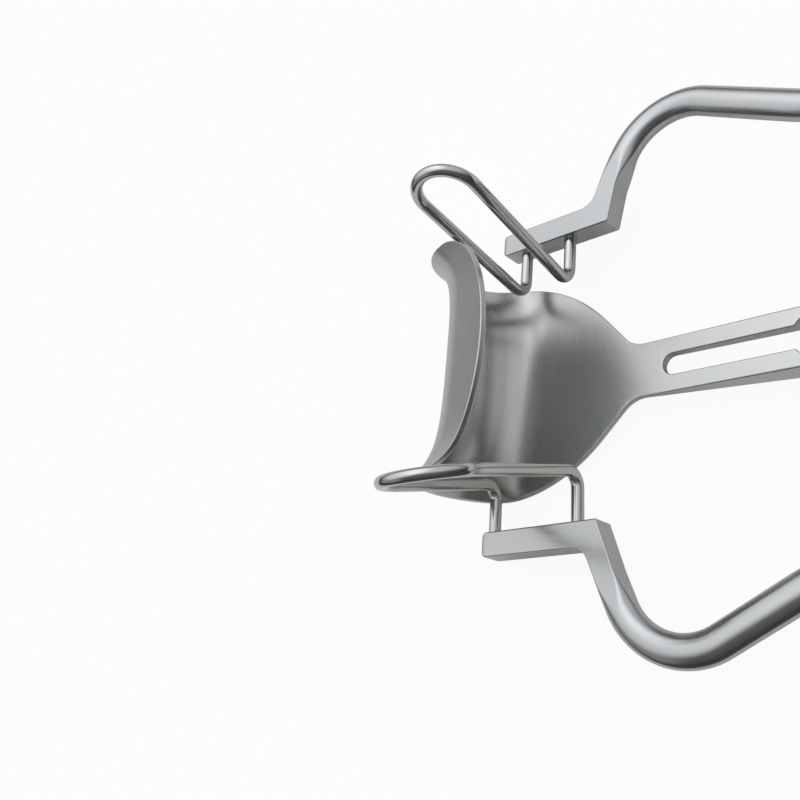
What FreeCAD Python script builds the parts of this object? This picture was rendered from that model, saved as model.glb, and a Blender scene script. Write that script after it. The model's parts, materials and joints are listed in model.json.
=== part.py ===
"""Self-retaining abdominal frame retractor.

Two arms ride on a pair of round rods and carry fenestrated wire side blades.  A carriage
between the arms clamps the slotted shank of a saddle-shaped centre blade with a wing nut.
The pieces are drawn in a level frame: X runs along the rods, Y points forward to the blades,
Z points up out of the wound side of the frame, and Z = 0 is the middle plane of the arms.
One rest placement then lays the whole retractor, blades up, on the wings of its nut and on
the back of its centre blade.  All lengths are millimetres and all angles degrees.
"""
import FreeCAD, Part
import math
import os
import re

V = FreeCAD.Vector
DOC = FreeCAD.newDocument("frame_retractor")
SHEET = DOC.addObject("Spreadsheet::Sheet", "Sizes")

SIZES = [
    ("wire_diameter", 4.0, "wire of both side blades"),
    ("wire_fit", 0.02, "radial gap of a wire leg in its socket"),
    ("leg_length", 17.1, "from the block to the upright of a side blade"),
    ("leg_socket", 6.2, "depth of the sockets in the blocks"),
    ("leg_bend_radius", 4.6, "centre line radius between leg and upright"),
    ("loop_height", 63.3, "side blade depth along its slope"),
    ("loop_lean", 14.1, "outward lean of both side blades"),
    ("fixed_leg_front", 8.1, "front leg behind the fixed block's front end"),
    ("fixed_leg_spacing", 18.4, "between the legs of the fixed side blade"),
    ("fixed_loop_splay", 1.42, "each upright of the fixed side blade opens by this"),
    ("fixed_loop_rake", 1.42, "forward rake of the fixed side blade"),
    ("sliding_leg_front", 2.3, "front leg behind the sliding block's front end"),
    ("sliding_leg_spacing", 32.3, "between the legs of the sliding side blade"),
    ("sliding_loop_splay", 0.05, "each upright of the sliding side blade opens by this"),
    ("sliding_loop_rake", 0.83, "forward rake of the sliding side blade"),
    ("block_inner", 50.8, "inner face of a block from the middle of the frame"),
    ("block_width", 8.2, "along X"),
    ("block_height", 8.0, "along Z, also of the flat root behind the block"),
    ("block_length", 43.6, "along Y"),
    ("block_nose_radius", 1.5, "rounding of the block's front corners"),
    ("arm_width", 9.8, "oval part of the arms, in plan"),
    ("arm_height", 8.2, "oval part of the arms, along Z"),
    ("root_width", 7.0, "flat root between block and oval part, in plan"),
    ("arm_inner_radius", 6.0, "fillet between the block's outer side and the arm"),
    ("fixed_leave_angle", 21.1, "the fixed arm leaves its block this far behind the X axis"),
    ("fixed_elbow_out", 96.7, "X of the corner point of the fixed arm's elbow"),
    ("fixed_elbow_back", 55.2, "this corner point lies this far behind the block's front end"),
    ("fixed_elbow_turn", 97.1, "turn of the fixed arm's elbow"),
    ("sliding_leave_angle", 22.4, "the sliding arm leaves its block this far behind the X axis"),
    ("sliding_elbow_out", 97.6, "X of the corner point of the sliding arm's elbow"),
    ("sliding_elbow_back", 58.3, "this corner point lies this far behind the block's front end"),
    ("sliding_elbow_turn", 96.2, "turn of the sliding arm's elbow"),
    ("elbow_radius", 21.0, "centre line radius of the elbows"),
    ("arm_blend_length", 8.2, "from the flat root to the oval section"),
    ("arm_straight", 1.5, "from the start of the oval section to the elbow"),
    ("arm_rear_radius", 45.0, "centre line radius where the arm turns to its rod boss"),
    ("arm_play_angle", 1.89, "the sliding arm's front stands turned in by this"),
    ("arm_play_shift", 1.58, "and its block stands this far forward"),
    ("boss_centre", 65.0, "X of the rod bosses from the middle of the frame"),
    ("boss_width", 12.0, "along the rods"),
    ("boss_length", 46.0, "across the rods"),
    ("boss_height", 11.0, "along Z"),
    ("boss_corner", 4.5, "corner radius of the bosses, carriage and end bar seen from above"),
    ("rod_diameter", 6.0, "both rods"),
    ("rod_spacing", 28.0, "between the rods' axes"),
    ("rod_middle", 154.0, "the rods' middle line lies this far behind the block's front end"),
    ("rod_running_gap", 0.05, "radial gap of the sliding bores on the rods"),
    ("rod_seat_gap", 0.02, "radial gap of the bores that hold the rods"),
    ("travel", 110.0, "opening stroke of the sliding arm"),
    ("stop_gap", 6.0, "left between the opened arm and the end bar"),
    ("end_bar_width", 6.0, "along the rods"),
    ("end_bar_height", 9.0, "along Z"),
    ("end_bar_margin", 5.5, "end bar past each rod's axis"),
    ("end_bar_roundness", 0.45454545, "radius of its long edges over its height"),
    ("screw_diameter", 3.0, "screws in the rod ends"),
    ("screw_length", 12.0, "under the head"),
    ("screw_head_diameter", 5.6, "screw heads"),
    ("screw_head_height", 2.2, "screw heads"),
    ("screw_slot", 0.8, "width of the slots in the screw heads"),
    ("screw_tip_gap", 0.5, "left in the rods past the screws' tips"),
    ("pin_diameter", 2.0, "pins that lock the rods in the fixed arm"),
    ("shank_top", -6.5, "Z of the centre blade's upper face"),
    ("shank_width", 18.0, "its upper face along X"),
    ("shank_flare", 2.2, "in the clamp the lower face is wider than the upper one by this on each side"),
    ("shank_offset", -0.4, "X of the shank's middle"),
    ("shank_thin", 3.0, "thickness next to the blade"),
    ("shank_thick", 4.5, "thickness in the clamp"),
    ("shank_end", 186.0, "rear end behind the block's front end"),
    ("shank_corner", 6.0, "round corners of the rear end"),
    ("slot_width", 6.9, "slot in the shank"),
    ("slot_start", 58.0, "front end of the slot"),
    ("slot_finish", 180.0, "rear end of the slot"),
    ("entry_hole", 13.0, "diameter of the round widening of the slot"),
    ("entry_hole_back", 104.0, "its centre behind the block's front end"),
    ("carriage_width", 30.0, "along the rods"),
    ("carriage_length", 46.0, "across the rods"),
    ("carriage_top", 5.5, "Z of its upper face"),
    ("shank_gap", 0.05, "gap between the carriage and the shank"),
    ("guide_side_gap", 0.15, "gap on each side of the shank between the guide ribs"),
    ("guide_depth", 2.4, "guide ribs reach this far down beside the shank"),
    ("stud_diameter", 6.0, "clamp stud"),
    ("nut_lift", 1.5, "the nut can be let down by this to free the blade"),
    ("nut_stop_gap", 0.5, "left between the let-down nut and the ring on the stud"),
    ("stud_head_diameter", 10.0, "head in the carriage's upper face"),
    ("stud_head_height", 2.5, "head in the carriage's upper face"),
    ("washer_diameter", 12.6, "pressure washer"),
    ("washer_thickness", 1.5, "pressure washer"),
    ("nut_gap", 0.05, "gaps between shank, washer and nut"),
    ("nut_hub_diameter", 12.0, "wing nut"),
    ("nut_hub_height", 8.4, "wing nut"),
    ("nut_hub_taper", 1.0, "the hub narrows by this on each side"),
    ("nut_wing_inset", 1.5, "wings start this far under the hub's upper face"),
    ("nut_wing_radius", 4.0, "upper corners of the wings"),
    ("nut_tip_radius", 2.6, "tips of the wings"),
    ("nut_span", 29.0, "over both wings"),
    ("nut_wing_reach", 13.6, "wings reach this far below the hub's upper face"),
    ("nut_wing_thickness", 3.2, "wing nut"),
    ("stop_ring_diameter", 8.0, "ring that keeps the nut on the stud"),
    ("stop_ring_height", 1.2, "ring that keeps the nut on the stud"),
    ("blade_sheet", 2.0, "sheet of the centre blade"),
    ("blade_offset", 1.3, "X of the blade's middle"),
    ("blade_half_width", 39.9, "half the width of the centre blade"),
    ("blade_trim", 1.5, "the bent sheet is drawn wider by this on each side and trimmed"),
    ("blade_shoulder_back", 18.9, "corner point of the blade's shoulder behind the front end"),
    ("blade_neck_back", 47.3, "corner point of the neck behind the front end"),
    ("blade_neck_radius", 10.0, "in plan"),
    ("blade_shoulder_radius", 58.0, "in plan"),
    ("blade_bend_start", 15.4, "the plate starts to turn up this far behind the front end"),
    ("blade_bend_radius", 17.4, "inner radius between plate and wall"),
    ("blade_bend_angle", 54.4, "turn between plate and wall"),
    ("blade_wall", 2.4, "straight stretch of the wall"),
    ("blade_fold_radius", 20.0, "inner radius between wall and lip"),
    ("blade_fold_angle", 105.2, "turn between wall and lip"),
    ("bend_flare", 11.2, "the ends of the bend stand this far in front of its middle"),
    ("bend_flare_power", 3.0, "how late the bend flares towards its ends"),
    ("fold_flare", 12.2, "the ends of the fold stand this far in front of its middle"),
    ("fold_flare_power", 7.1, "how late the fold flares towards its ends"),
    ("rim_back", 24.7, "middle of the lip's rim behind the front end"),
    ("rim_radius", 57.9, "the rim in plan"),
    ("rim_corner", 18.3, "rounding of the rim's ends in plan"),
]
for row, (alias, value, note) in enumerate(SIZES, start=1):
    SHEET.set(f"A{row}", note)
    SHEET.set(f"B{row}", str(value))
    SHEET.setAlias(f"B{row}", alias)
DOC.recompute()


def size(alias):
    """Value of one spreadsheet cell."""
    return float(getattr(SHEET, alias))


def unit(angle):
    """Unit vector in the XY plane at an angle in degrees from +X."""
    return V(math.cos(math.radians(angle)), math.sin(math.radians(angle)), 0)


def rounded_path(points, radii):
    """Edges through the points, with a tangent arc at each inner point whose radius isn't 0."""
    edges = []
    start = points[0]
    for before, corner, after, radius in zip(points, points[1:], points[2:], radii):
        if radius == 0:
            edges.append(Part.LineSegment(start, corner).toShape())
            start = corner
            continue
        to_before = (before - corner).normalize()
        to_after = (after - corner).normalize()
        half = to_before.getAngle(to_after) / 2
        reach = radius / math.tan(half)
        first = corner + to_before * reach
        last = corner + to_after * reach
        middle = (to_before + to_after).normalize()
        centre = corner + middle * (radius / math.sin(half))
        edges.append(Part.LineSegment(start, first).toShape())
        edges.append(Part.Arc(first, centre - middle * radius, last).toShape())
        start = last
    edges.append(Part.LineSegment(start, points[-1]).toShape())
    return edges


def swept_round(edges, diameter):
    """Round bar along a path of tangent edges."""
    first = edges[0]
    begin = first.Vertexes[0].Point
    along = first.tangentAt(first.FirstParameter)
    return swept(edges, Part.Wire(Part.makeCircle(diameter / 2, begin, along)))


def swept(edges, section):
    """Solid bar of one section along a path of tangent edges."""
    return Part.Wire(edges).makePipeShell([section], True, False)


def cylinder(diameter, begin, end):
    """Solid cylinder from one point to another."""
    return Part.makeCylinder(diameter / 2, (end - begin).Length, begin, end - begin)


PLACE = {"x": "Placement.Base.x", "y": "Placement.Base.y", "z": "Placement.Base.z"}
TURNS = {
    "+X": FreeCAD.Rotation(V(0, 1, 0), 90),
    "-X": FreeCAD.Rotation(V(0, 1, 0), -90),
    "+Z": FreeCAD.Rotation(),
    "-Z": FreeCAD.Rotation(V(1, 0, 0), 180),
}
ROD_Y = ("-rod_middle + rod_spacing / 2", "-rod_middle - rod_spacing / 2")
ROD_END = "-(boss_centre + travel + boss_width / 2 + stop_gap)"
SCREW_SEAT = f"{ROD_END} - end_bar_width"
WASHER_LOW = "shank_top - shank_thick - nut_gap - washer_thickness"
NUT_TOP = f"{WASHER_LOW} - nut_gap"
STUD_END = f"{NUT_TOP} - nut_hub_height - nut_lift - nut_stop_gap - stop_ring_height"
CARRIAGE_SEAT = "shank_top + shank_gap"
GUIDE = "shank_width / 2 + shank_flare * guide_depth / shank_thick + guide_side_gap"


def cells(formula):
    """Expression over the sheet from a formula written with the names of its cells."""
    return re.sub(r"[a-z]\w*", lambda found: "Sizes." + found[0], formula)


def bound(kind, name, direction="+Z", **formulas):
    """Adds a primitive whose sizes and whose place x, y, z follow formulas over the sheet."""
    feature = DOC.addObject(kind, name)
    feature.Placement = FreeCAD.Placement(V(0, 0, 0), TURNS[direction])
    for key, formula in formulas.items():
        feature.setExpression(PLACE.get(key, key), cells(formula))
    return feature


def coded(name, shape):
    """Adds a shape that no primitive or sketch fits, drawn from the sheet's sizes."""
    feature = DOC.addObject("Part::Feature", name)
    feature.Shape = shape
    return feature


def joined(name, *features):
    """Adds the union of features."""
    union = DOC.addObject("Part::MultiFuse", name)
    union.Shapes = list(features)
    union.Refine = True
    return union


def grouped(name, *features):
    """Adds like pieces that belong together as one compound."""
    group = DOC.addObject("Part::Compound", name)
    group.Links = list(features)
    return group


def less(name, base, *tools):
    """Adds a feature with others cut from it."""
    difference = DOC.addObject("Part::Cut", name)
    difference.Base = base
    difference.Tool = tools[0] if len(tools) == 1 else joined(f"{name}_cutters", *tools)
    difference.Refine = True
    return difference


def rounded(name, base, radius, axis):
    """Adds a fillet on every edge of a box that runs along an axis."""
    DOC.recompute()
    fillet = DOC.addObject("Part::Fillet", name)
    fillet.Base = base
    edges = enumerate(base.Shape.Edges, start=1)
    fillet.Edges = [(index, radius, radius) for index, edge in edges if abs(edge.tangentAt(0).dot(axis)) > 0.99]
    return fillet


class ArmFrame:
    """Plan coordinates of one arm's front part, in which both arms are alike."""

    def __init__(self, side):
        self.side = side
        self.turn = 0.0 if side > 0 else -size("arm_play_angle")
        self.shift = 0.0 if side > 0 else size("arm_play_shift")
        name = "fixed" if side > 0 else "sliding"
        self.leave = size(f"{name}_leave_angle")
        self.elbow = V(size(f"{name}_elbow_out"), -size(f"{name}_elbow_back"), 0)
        self.elbow_turn = size(f"{name}_elbow_turn")
        elbow_reach = size("elbow_radius") * math.tan(math.radians(self.elbow_turn / 2))
        along = unit(-self.leave)
        self.oval_start = self.elbow - along * (elbow_reach + size("arm_straight"))
        self.root_end = self.oval_start - along * size("arm_blend_length")

    def point(self, x, y, z=0.0):
        """Level-frame point of a point given on the +X arm."""
        pivot = size("block_inner")
        cos = math.cos(math.radians(self.turn))
        sin = math.sin(math.radians(self.turn))
        return V(
            self.side * (cos * (x - pivot) - sin * y + pivot),
            sin * (x - pivot) + cos * y + self.shift,
            z,
        )


def quad_section(centre, along, width, height):
    """Four-edge rectangle across a horizontal direction."""
    across = V(-along.y, along.x, 0) * (width / 2)
    up = V(0, 0, height / 2)
    corners = [centre + across + up, centre - across + up, centre - across - up, centre + across - up]
    return Part.makePolygon(corners + corners[:1])


def oval_section(centre, along):
    """Ellipse of the arm's bar in four arcs that match the edges of quad_section."""
    across = V(-along.y, along.x, 0)
    tall = size("arm_height")
    wide = size("arm_width")
    major = max(wide, tall) / 2
    minor = min(wide, tall) / 2
    first_axis = across if wide >= tall else V(0, 0, 1)
    ellipse = Part.Ellipse(centre + first_axis * major, centre + along.cross(first_axis) * minor, centre)
    diagonal = math.pi / 4
    quarter = math.pi / 2
    turns = [diagonal + k * quarter for k in range(5)]
    return Part.Wire([ellipse.toShape(begin, end) for begin, end in zip(turns, turns[1:])])


def arm_root(frame):
    """Flat block with the start of the arm, as one padded outline."""
    inner = size("block_inner")
    outer = inner + size("block_width")
    length = size("block_length")
    half = size("root_width") / 2
    along = unit(-frame.leave)
    across = V(-along.y, along.x, 0)
    front_end = frame.root_end + across * half
    rear_end = frame.root_end - across * half
    notch = front_end - along * ((front_end.x - outer) / along.x)
    corners = [
        V(inner, -length / 2, 0),
        V(inner, 0, 0),
        V(outer, 0, 0),
        notch,
        front_end,
        rear_end,
        V(inner, -length, 0),
        V(inner, -length / 2, 0),
    ]
    nose = size("block_nose_radius")
    radii = [nose, nose, size("arm_inner_radius"), 0, 0, 0]
    placed = [frame.point(corner.x, corner.y, -size("block_height") / 2) for corner in corners]
    outline = Part.Wire(rounded_path(placed, radii))
    return Part.Face(outline).extrude(V(0, 0, size("block_height")))


def add_arm(side):
    """Block, oval bar and rod boss of one arm, with its sockets and rod bores."""
    name = "fixed" if side > 0 else "sliding"
    frame = ArmFrame(side)
    slope = unit(-frame.leave - frame.elbow_turn)

    def placed(point):
        return frame.point(point.x, point.y)

    root_end = placed(frame.root_end)
    oval_start = placed(frame.oval_start)
    corner = placed(frame.elbow)
    along = (corner - root_end).normalize()
    sections = [
        quad_section(root_end, along, size("root_width"), size("block_height")),
        oval_section(oval_start, along),
    ]
    down_slope = (placed(frame.elbow + slope) - corner).normalize()
    boss_x = side * size("boss_centre")
    rear_corner = corner + down_slope * ((boss_x - corner.x) / down_slope.x)
    path = rounded_path(
        [oval_start, corner, rear_corner, V(boss_x, -size("rod_middle"), 0)],
        [size("elbow_radius"), size("arm_rear_radius")],
    )
    body = joined(
        f"{name}_arm_body",
        coded(f"{name}_arm_block", arm_root(frame)),
        coded(f"{name}_arm_blend", Part.makeLoft(sections, True, True)),
        coded(f"{name}_arm_bar", swept(path, sections[1])),
        add_boss(side, name),
    )
    hole = size("wire_diameter") + 2 * size("wire_fit")
    cutters = [coded(f"{name}_socket", cylinder(hole, begin, end)) for begin, end in leg_sockets(side)]
    gap = "rod_seat_gap" if side > 0 else "rod_running_gap"
    for y in ROD_Y:
        cutters.append(bound(
            "Part::Cylinder", f"{name}_bore", "+X", Radius=f"rod_diameter / 2 + {gap}",
            Height="2 * boss_width", x=f"{side} * boss_centre - boss_width", y=y,
        ))
        if side > 0:
            cutters.append(add_pin("fixed_pin_hole", y, "rod_seat_gap"))
    return less(f"{name}_arm", body, *cutters)


def add_boss(side, name):
    """Boss of one arm that the rods run through, with round upright edges."""
    block = bound(
        "Part::Box", f"{name}_boss_block", Length="boss_width", Width="boss_length", Height="boss_height",
        x=f"{side} * boss_centre - boss_width / 2", y="-rod_middle - boss_length / 2", z="-boss_height / 2",
    )
    return rounded(f"{name}_boss", block, size("boss_corner"), V(0, 0, 1))


def add_pin(name, y, gap="0"):
    """Upright pin through the fixed boss and one rod, or with a gap its hole."""
    return bound(
        "Part::Cylinder", name, Radius=f"pin_diameter / 2 + {gap}", Height="boss_height",
        x="boss_centre", y=y, z="-boss_height / 2",
    )


def leg_lines(side):
    """Y of the two legs of one side blade on its block, front first."""
    name = "fixed" if side > 0 else "sliding"
    front = -size(f"{name}_leg_front")
    return front, front - size(f"{name}_leg_spacing")


def leg_sockets(side):
    """Begin and end of the two blind sockets in one block."""
    frame = ArmFrame(side)
    inner = size("block_inner")
    return [
        (frame.point(inner - 1, y), frame.point(inner + size("leg_socket"), y)) for y in leg_lines(side)
    ]


def add_wire_blade(side):
    """Side blade: one wire bent into two legs and a long round-ended loop."""
    name = "fixed" if side > 0 else "sliding"
    frame = ArmFrame(side)
    lean = math.radians(size("loop_lean"))
    rake = math.radians(size(f"{name}_loop_rake"))
    splay = math.radians(size(f"{name}_loop_splay"))
    foot_x = size("block_inner") - size("leg_length")
    socket_x = size("block_inner") + size("leg_socket") - size("wire_fit")
    height = size("loop_height")
    front, rear = leg_lines(side)
    middle = (front + rear) / 2
    half = (front - rear) / 2
    top = (half + height * math.tan(splay)) / (
        math.cos(splay) + math.tan(splay) * (1 + math.sin(splay))
    )
    rise = V(math.sin(lean), math.sin(rake), math.sqrt(1 - math.sin(lean) ** 2 - math.sin(rake) ** 2))

    def on_loop(across, up):
        return frame.point(foot_x + up * rise.x, middle + across + up * rise.y, up * rise.z)

    centre_up = height - top
    meet = (top * math.cos(splay), centre_up - top * math.sin(splay))
    front_leg = rounded_path(
        [frame.point(socket_x, front), frame.point(foot_x, front), on_loop(meet[0], meet[1])],
        [size("leg_bend_radius")],
    )
    crown = Part.Arc(
        on_loop(meet[0], meet[1]), on_loop(0, centre_up + top), on_loop(-meet[0], meet[1])
    ).toShape()
    rear_leg = rounded_path(
        [on_loop(-meet[0], meet[1]), frame.point(foot_x, rear), frame.point(socket_x, rear)],
        [size("leg_bend_radius")],
    )
    return coded(f"{name}_wire_blade", swept_round(front_leg + [crown] + rear_leg, size("wire_diameter")))


def blade_profile(x):
    """Closed section of the bent centre blade at a distance x from its middle plane."""
    bend = math.radians(size("blade_bend_angle"))
    lip_turn = bend + math.radians(size("blade_fold_angle"))
    bend_reach = size("blade_bend_radius") * math.tan(bend / 2)
    fold_reach = size("blade_fold_radius") * math.tan(math.radians(size("blade_fold_angle")) / 2)
    wall = bend_reach + size("blade_wall") + fold_reach
    foot = V(0, -size("blade_bend_start") + bend_reach, size("shank_top"))
    fold = foot + V(0, wall * math.cos(bend), wall * math.sin(bend))
    lip = (fold.y + size("rim_back") + size("rim_corner")) / abs(math.cos(lip_turn))
    rim = fold + V(0, lip * math.cos(lip_turn), lip * math.sin(lip_turn))
    share = abs(x) / size("blade_half_width")
    bend_shift = V(0, size("bend_flare") * share ** size("bend_flare_power"), 0)
    fold_shift = V(0, size("fold_flare") * share ** size("fold_flare_power"), 0)
    inner = [
        V(0, -size("blade_neck_back") - size("blade_neck_radius"), size("shank_top")),
        foot + bend_shift,
        fold + fold_shift,
        rim + fold_shift,
    ]
    outer = offset_corners(inner, size("blade_sheet"))
    radii = [size("blade_bend_radius"), size("blade_fold_radius")]
    outer_radii = [radius + size("blade_sheet") for radius in radii]
    shift = V(size("blade_offset") + x, 0, 0)
    inner = [point + shift for point in inner]
    outer = [point + shift for point in outer]
    edges = rounded_path(inner, radii)
    edges.append(Part.LineSegment(inner[-1], outer[-1]).toShape())
    edges += rounded_path(outer[::-1], outer_radii[::-1])
    edges.append(Part.LineSegment(outer[0], inner[0]).toShape())
    return Part.Wire(edges)


def offset_corners(points, distance):
    """Corner points of a YZ polyline moved to its right-hand side by a distance."""
    normals = []
    for begin, end in zip(points, points[1:]):
        along = (end - begin).normalize()
        normals.append(V(0, along.z, -along.y))
    moved = [points[0] + normals[0] * distance]
    for corner, before, after in zip(points[1:], normals, normals[1:]):
        moved.append(corner + (before + after) * (distance / (1 + before.dot(after))))
    moved.append(points[-1] + normals[-1] * distance)
    return moved


def add_center_blade():
    """Saddle-shaped blade fused with its slotted shank."""
    drawn = size("blade_half_width") + size("blade_trim")
    stations = [drawn * step / 4 for step in range(-4, 5)]
    sheet = Part.makeLoft([blade_profile(x) for x in stations], True, False)
    sheet = sheet.cut([outside_plan(), outside_rim()] + outside_width())
    body = joined("blade_and_shank", coded("blade_sheet", sheet), coded("shank", shank_solid()))
    return less("center_blade", body, *slot_cutters())


def outside_width():
    """What is trimmed off beyond the blade's half width, over its whole height."""
    half = size("blade_half_width")
    beyond = 2 * size("blade_trim")
    far = 3 * half
    middle = size("blade_offset")
    corners = [V(middle + x, -far, -far) for x in (half, -half - beyond)]
    return [Part.makeBox(beyond, 2 * far, 2 * far, corner) for corner in corners]


def outside_plan():
    """What is cut from the sheet beside its shoulders and neck, below the wall."""
    half = size("blade_half_width")
    neck = size("shank_width") / 2
    neck_x = size("shank_offset") - size("blade_offset")
    far = 3 * half
    low = size("shank_top") - size("blade_bend_radius")
    high = size("shank_top") + size("blade_bend_radius") / 2
    cutters = []
    for side in (-1, 1):
        points = [
            V(side * neck + neck_x, -far, low),
            V(side * neck + neck_x, -size("blade_neck_back"), low),
            V(side * half, -size("blade_shoulder_back"), low),
            V(side * half, far, low),
        ]
        radii = [size("blade_neck_radius"), size("blade_shoulder_radius")]
        edges = rounded_path(points, radii)
        edges.append(Part.LineSegment(points[-1], V(side * far, far, low)).toShape())
        edges.append(Part.LineSegment(V(side * far, far, low), V(side * far, -far, low)).toShape())
        edges.append(Part.LineSegment(V(side * far, -far, low), points[0]).toShape())
        face = Part.Face(Part.Wire(edges))
        face.translate(V(size("blade_offset"), 0, 0))
        cutters.append(face.extrude(V(0, 0, high - low)))
    return cutters[0].fuse(cutters[1])


def outside_rim():
    """What is cut from the lip behind its bowed rim with its round ends."""
    half = size("blade_half_width")
    corner = size("rim_corner")
    radius = size("rim_radius")
    rim_centre_y = radius - size("rim_back")
    corner_x = half - corner
    corner_y = rim_centre_y - math.sqrt((radius - corner) ** 2 - corner_x ** 2)
    out = V(corner_x, corner_y - rim_centre_y, 0).normalize()
    meet = V(out.x * radius, rim_centre_y + out.y * radius, 0)
    diagonal = unit((math.degrees(math.atan2(out.y, out.x))) / 2) * corner
    far_x = 2 * half
    far_y = rim_centre_y - 2 * radius

    def flip(point):
        return V(-point.x, point.y, 0)

    side = V(half, corner_y, 0)
    round_middle = V(corner_x, corner_y, 0) + diagonal
    outer = [V(far_x, corner_y, 0), V(far_x, far_y, 0)]
    edges = [
        Part.Arc(side, round_middle, meet).toShape(),
        Part.Arc(meet, V(0, -size("rim_back"), 0), flip(meet)).toShape(),
        Part.Arc(flip(meet), flip(round_middle), flip(side)).toShape(),
        Part.LineSegment(flip(side), flip(outer[0])).toShape(),
        Part.LineSegment(flip(outer[0]), flip(outer[1])).toShape(),
        Part.LineSegment(flip(outer[1]), outer[1]).toShape(),
        Part.LineSegment(outer[1], outer[0]).toShape(),
        Part.LineSegment(outer[0], side).toShape(),
    ]
    face = Part.Face(Part.Wire(edges))
    face.translate(V(size("blade_offset"), 0, size("shank_top") + size("blade_bend_radius") + size("blade_wall")))
    return face.extrude(V(0, 0, 4 * size("blade_fold_radius")))


def shank_section(y, thickness, flare):
    """Section of the shank at one Y, with a lower face wider than its upper face."""
    top = size("shank_top")
    middle = size("shank_offset")
    half = size("shank_width") / 2
    corners = [
        V(middle - half, y, top),
        V(middle + half, y, top),
        V(middle + half + flare, y, top - thickness),
        V(middle - half - flare, y, top - thickness),
    ]
    return Part.makePolygon(corners + corners[:1])


def shank_solid():
    """Shank without its slot, thicker and with sloping sides towards the clamp."""
    thick = size("shank_thick")
    flare = size("shank_flare")
    front = -size("blade_neck_back") - size("blade_neck_radius") / 2
    sections = [
        shank_section(front, size("blade_sheet"), 0),
        shank_section(-size("slot_start"), size("shank_thin"), 0),
        shank_section(-size("entry_hole_back"), thick, flare),
        shank_section(-size("shank_end"), thick, flare),
    ]
    solid = Part.makeLoft(sections, True, True)
    rear = [
        edge
        for edge in solid.Edges
        if abs(edge.CenterOfMass.y + size("shank_end")) < 0.01 and abs(edge.tangentAt(0).z) > 0.5
    ]
    return solid.makeFillet(size("shank_corner"), rear)


def slot_cutters():
    """Long slot with round ends and its round entry hole."""
    low = "shank_top - 2 * shank_thick"
    deep = "3 * shank_thick"
    slot = bound(
        "Part::Box", "slot", Length="slot_width", Width="slot_finish - slot_start - slot_width", Height=deep,
        x="shank_offset - slot_width / 2", y="-slot_finish + slot_width / 2", z=low,
    )
    ends = (
        ("slot_front", "-slot_start - slot_width / 2", "slot_width / 2"),
        ("slot_rear", "-slot_finish + slot_width / 2", "slot_width / 2"),
        ("slot_entry", "-entry_hole_back", "entry_hole / 2"),
    )
    return [slot] + [
        bound("Part::Cylinder", name, Radius=radius, Height=deep, x="shank_offset", y=y, z=low)
        for name, y, radius in ends
    ]


def on_axis(kind, name, direction="+Z", **formulas):
    """Adds a primitive on the clamp's axis."""
    return bound(kind, name, direction, x="shank_offset", y="-rod_middle", **formulas)


def add_stud(name, gap="0"):
    """Headed stud that hangs down through the carriage and the slot, or with a gap its seat."""
    head = on_axis(
        "Part::Cylinder", f"{name}_head", "-Z", Radius=f"stud_head_diameter / 2 + {gap}",
        Height="stud_head_height", z="carriage_top",
    )
    shaft = on_axis(
        "Part::Cylinder", f"{name}_shaft", "-Z", Radius=f"stud_diameter / 2 + {gap}",
        Height=f"carriage_top - ({STUD_END})", z="carriage_top",
    )
    return joined(name, head, shaft)


def add_carriage():
    """Block on both rods with guide ribs beside the shank and a seat for the stud."""
    block = bound(
        "Part::Box", "carriage_block", Length="carriage_width", Width="carriage_length",
        Height=f"carriage_top - ({CARRIAGE_SEAT})", x="shank_offset - carriage_width / 2",
        y="-rod_middle - carriage_length / 2", z=CARRIAGE_SEAT,
    )
    pieces = [rounded("carriage_rounded", block, size("boss_corner"), V(0, 0, 1))]
    for x in (f"shank_offset + {GUIDE}", "shank_offset - carriage_width / 2"):
        pieces.append(bound(
            "Part::Box", "guide_rib", Length=f"carriage_width / 2 - ({GUIDE})",
            Width="carriage_length - 2 * boss_corner", Height="guide_depth", x=x,
            y="-rod_middle - carriage_length / 2 + boss_corner", z=f"{CARRIAGE_SEAT} - guide_depth",
        ))
    cutters = [add_stud("stud_seat", "rod_seat_gap")]
    for y in ROD_Y:
        cutters.append(bound(
            "Part::Cylinder", "carriage_bore", "+X", Radius="rod_diameter / 2 + rod_running_gap",
            Height="2 * carriage_width", x="shank_offset - carriage_width", y=y,
        ))
    return less("carriage", joined("carriage_body", *pieces), *cutters)


def add_ring(name, outside, hole, height, low):
    """Flat ring on the clamp's axis."""
    disc = on_axis("Part::Cylinder", f"{name}_disc", Radius=outside, Height=height, z=low)
    return less(name, disc, on_axis("Part::Cylinder", f"{name}_hole", Radius=hole, Height=height, z=low))


def wing_outline(side):
    """Outline of one wing in the XZ plane, from the hub's axis, with Z = 0 at its upper face."""
    span = size("nut_span") / 2
    reach = size("nut_wing_reach")
    top = -size("nut_wing_inset")
    root = size("nut_hub_taper") - size("nut_hub_height")
    upper = size("nut_wing_radius")
    tip = size("nut_tip_radius")
    points = [(0, top), (0.55, top), (1, -0.45 * reach), (1, -reach), (0.62, -reach), (0.36, root), (0, root), (0, top)]
    corners = [V(side * span * share, 0, z) for share, z in points]
    return Part.Wire(rounded_path(corners, [upper, upper, tip, tip, upper / 2, 0]))


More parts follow.
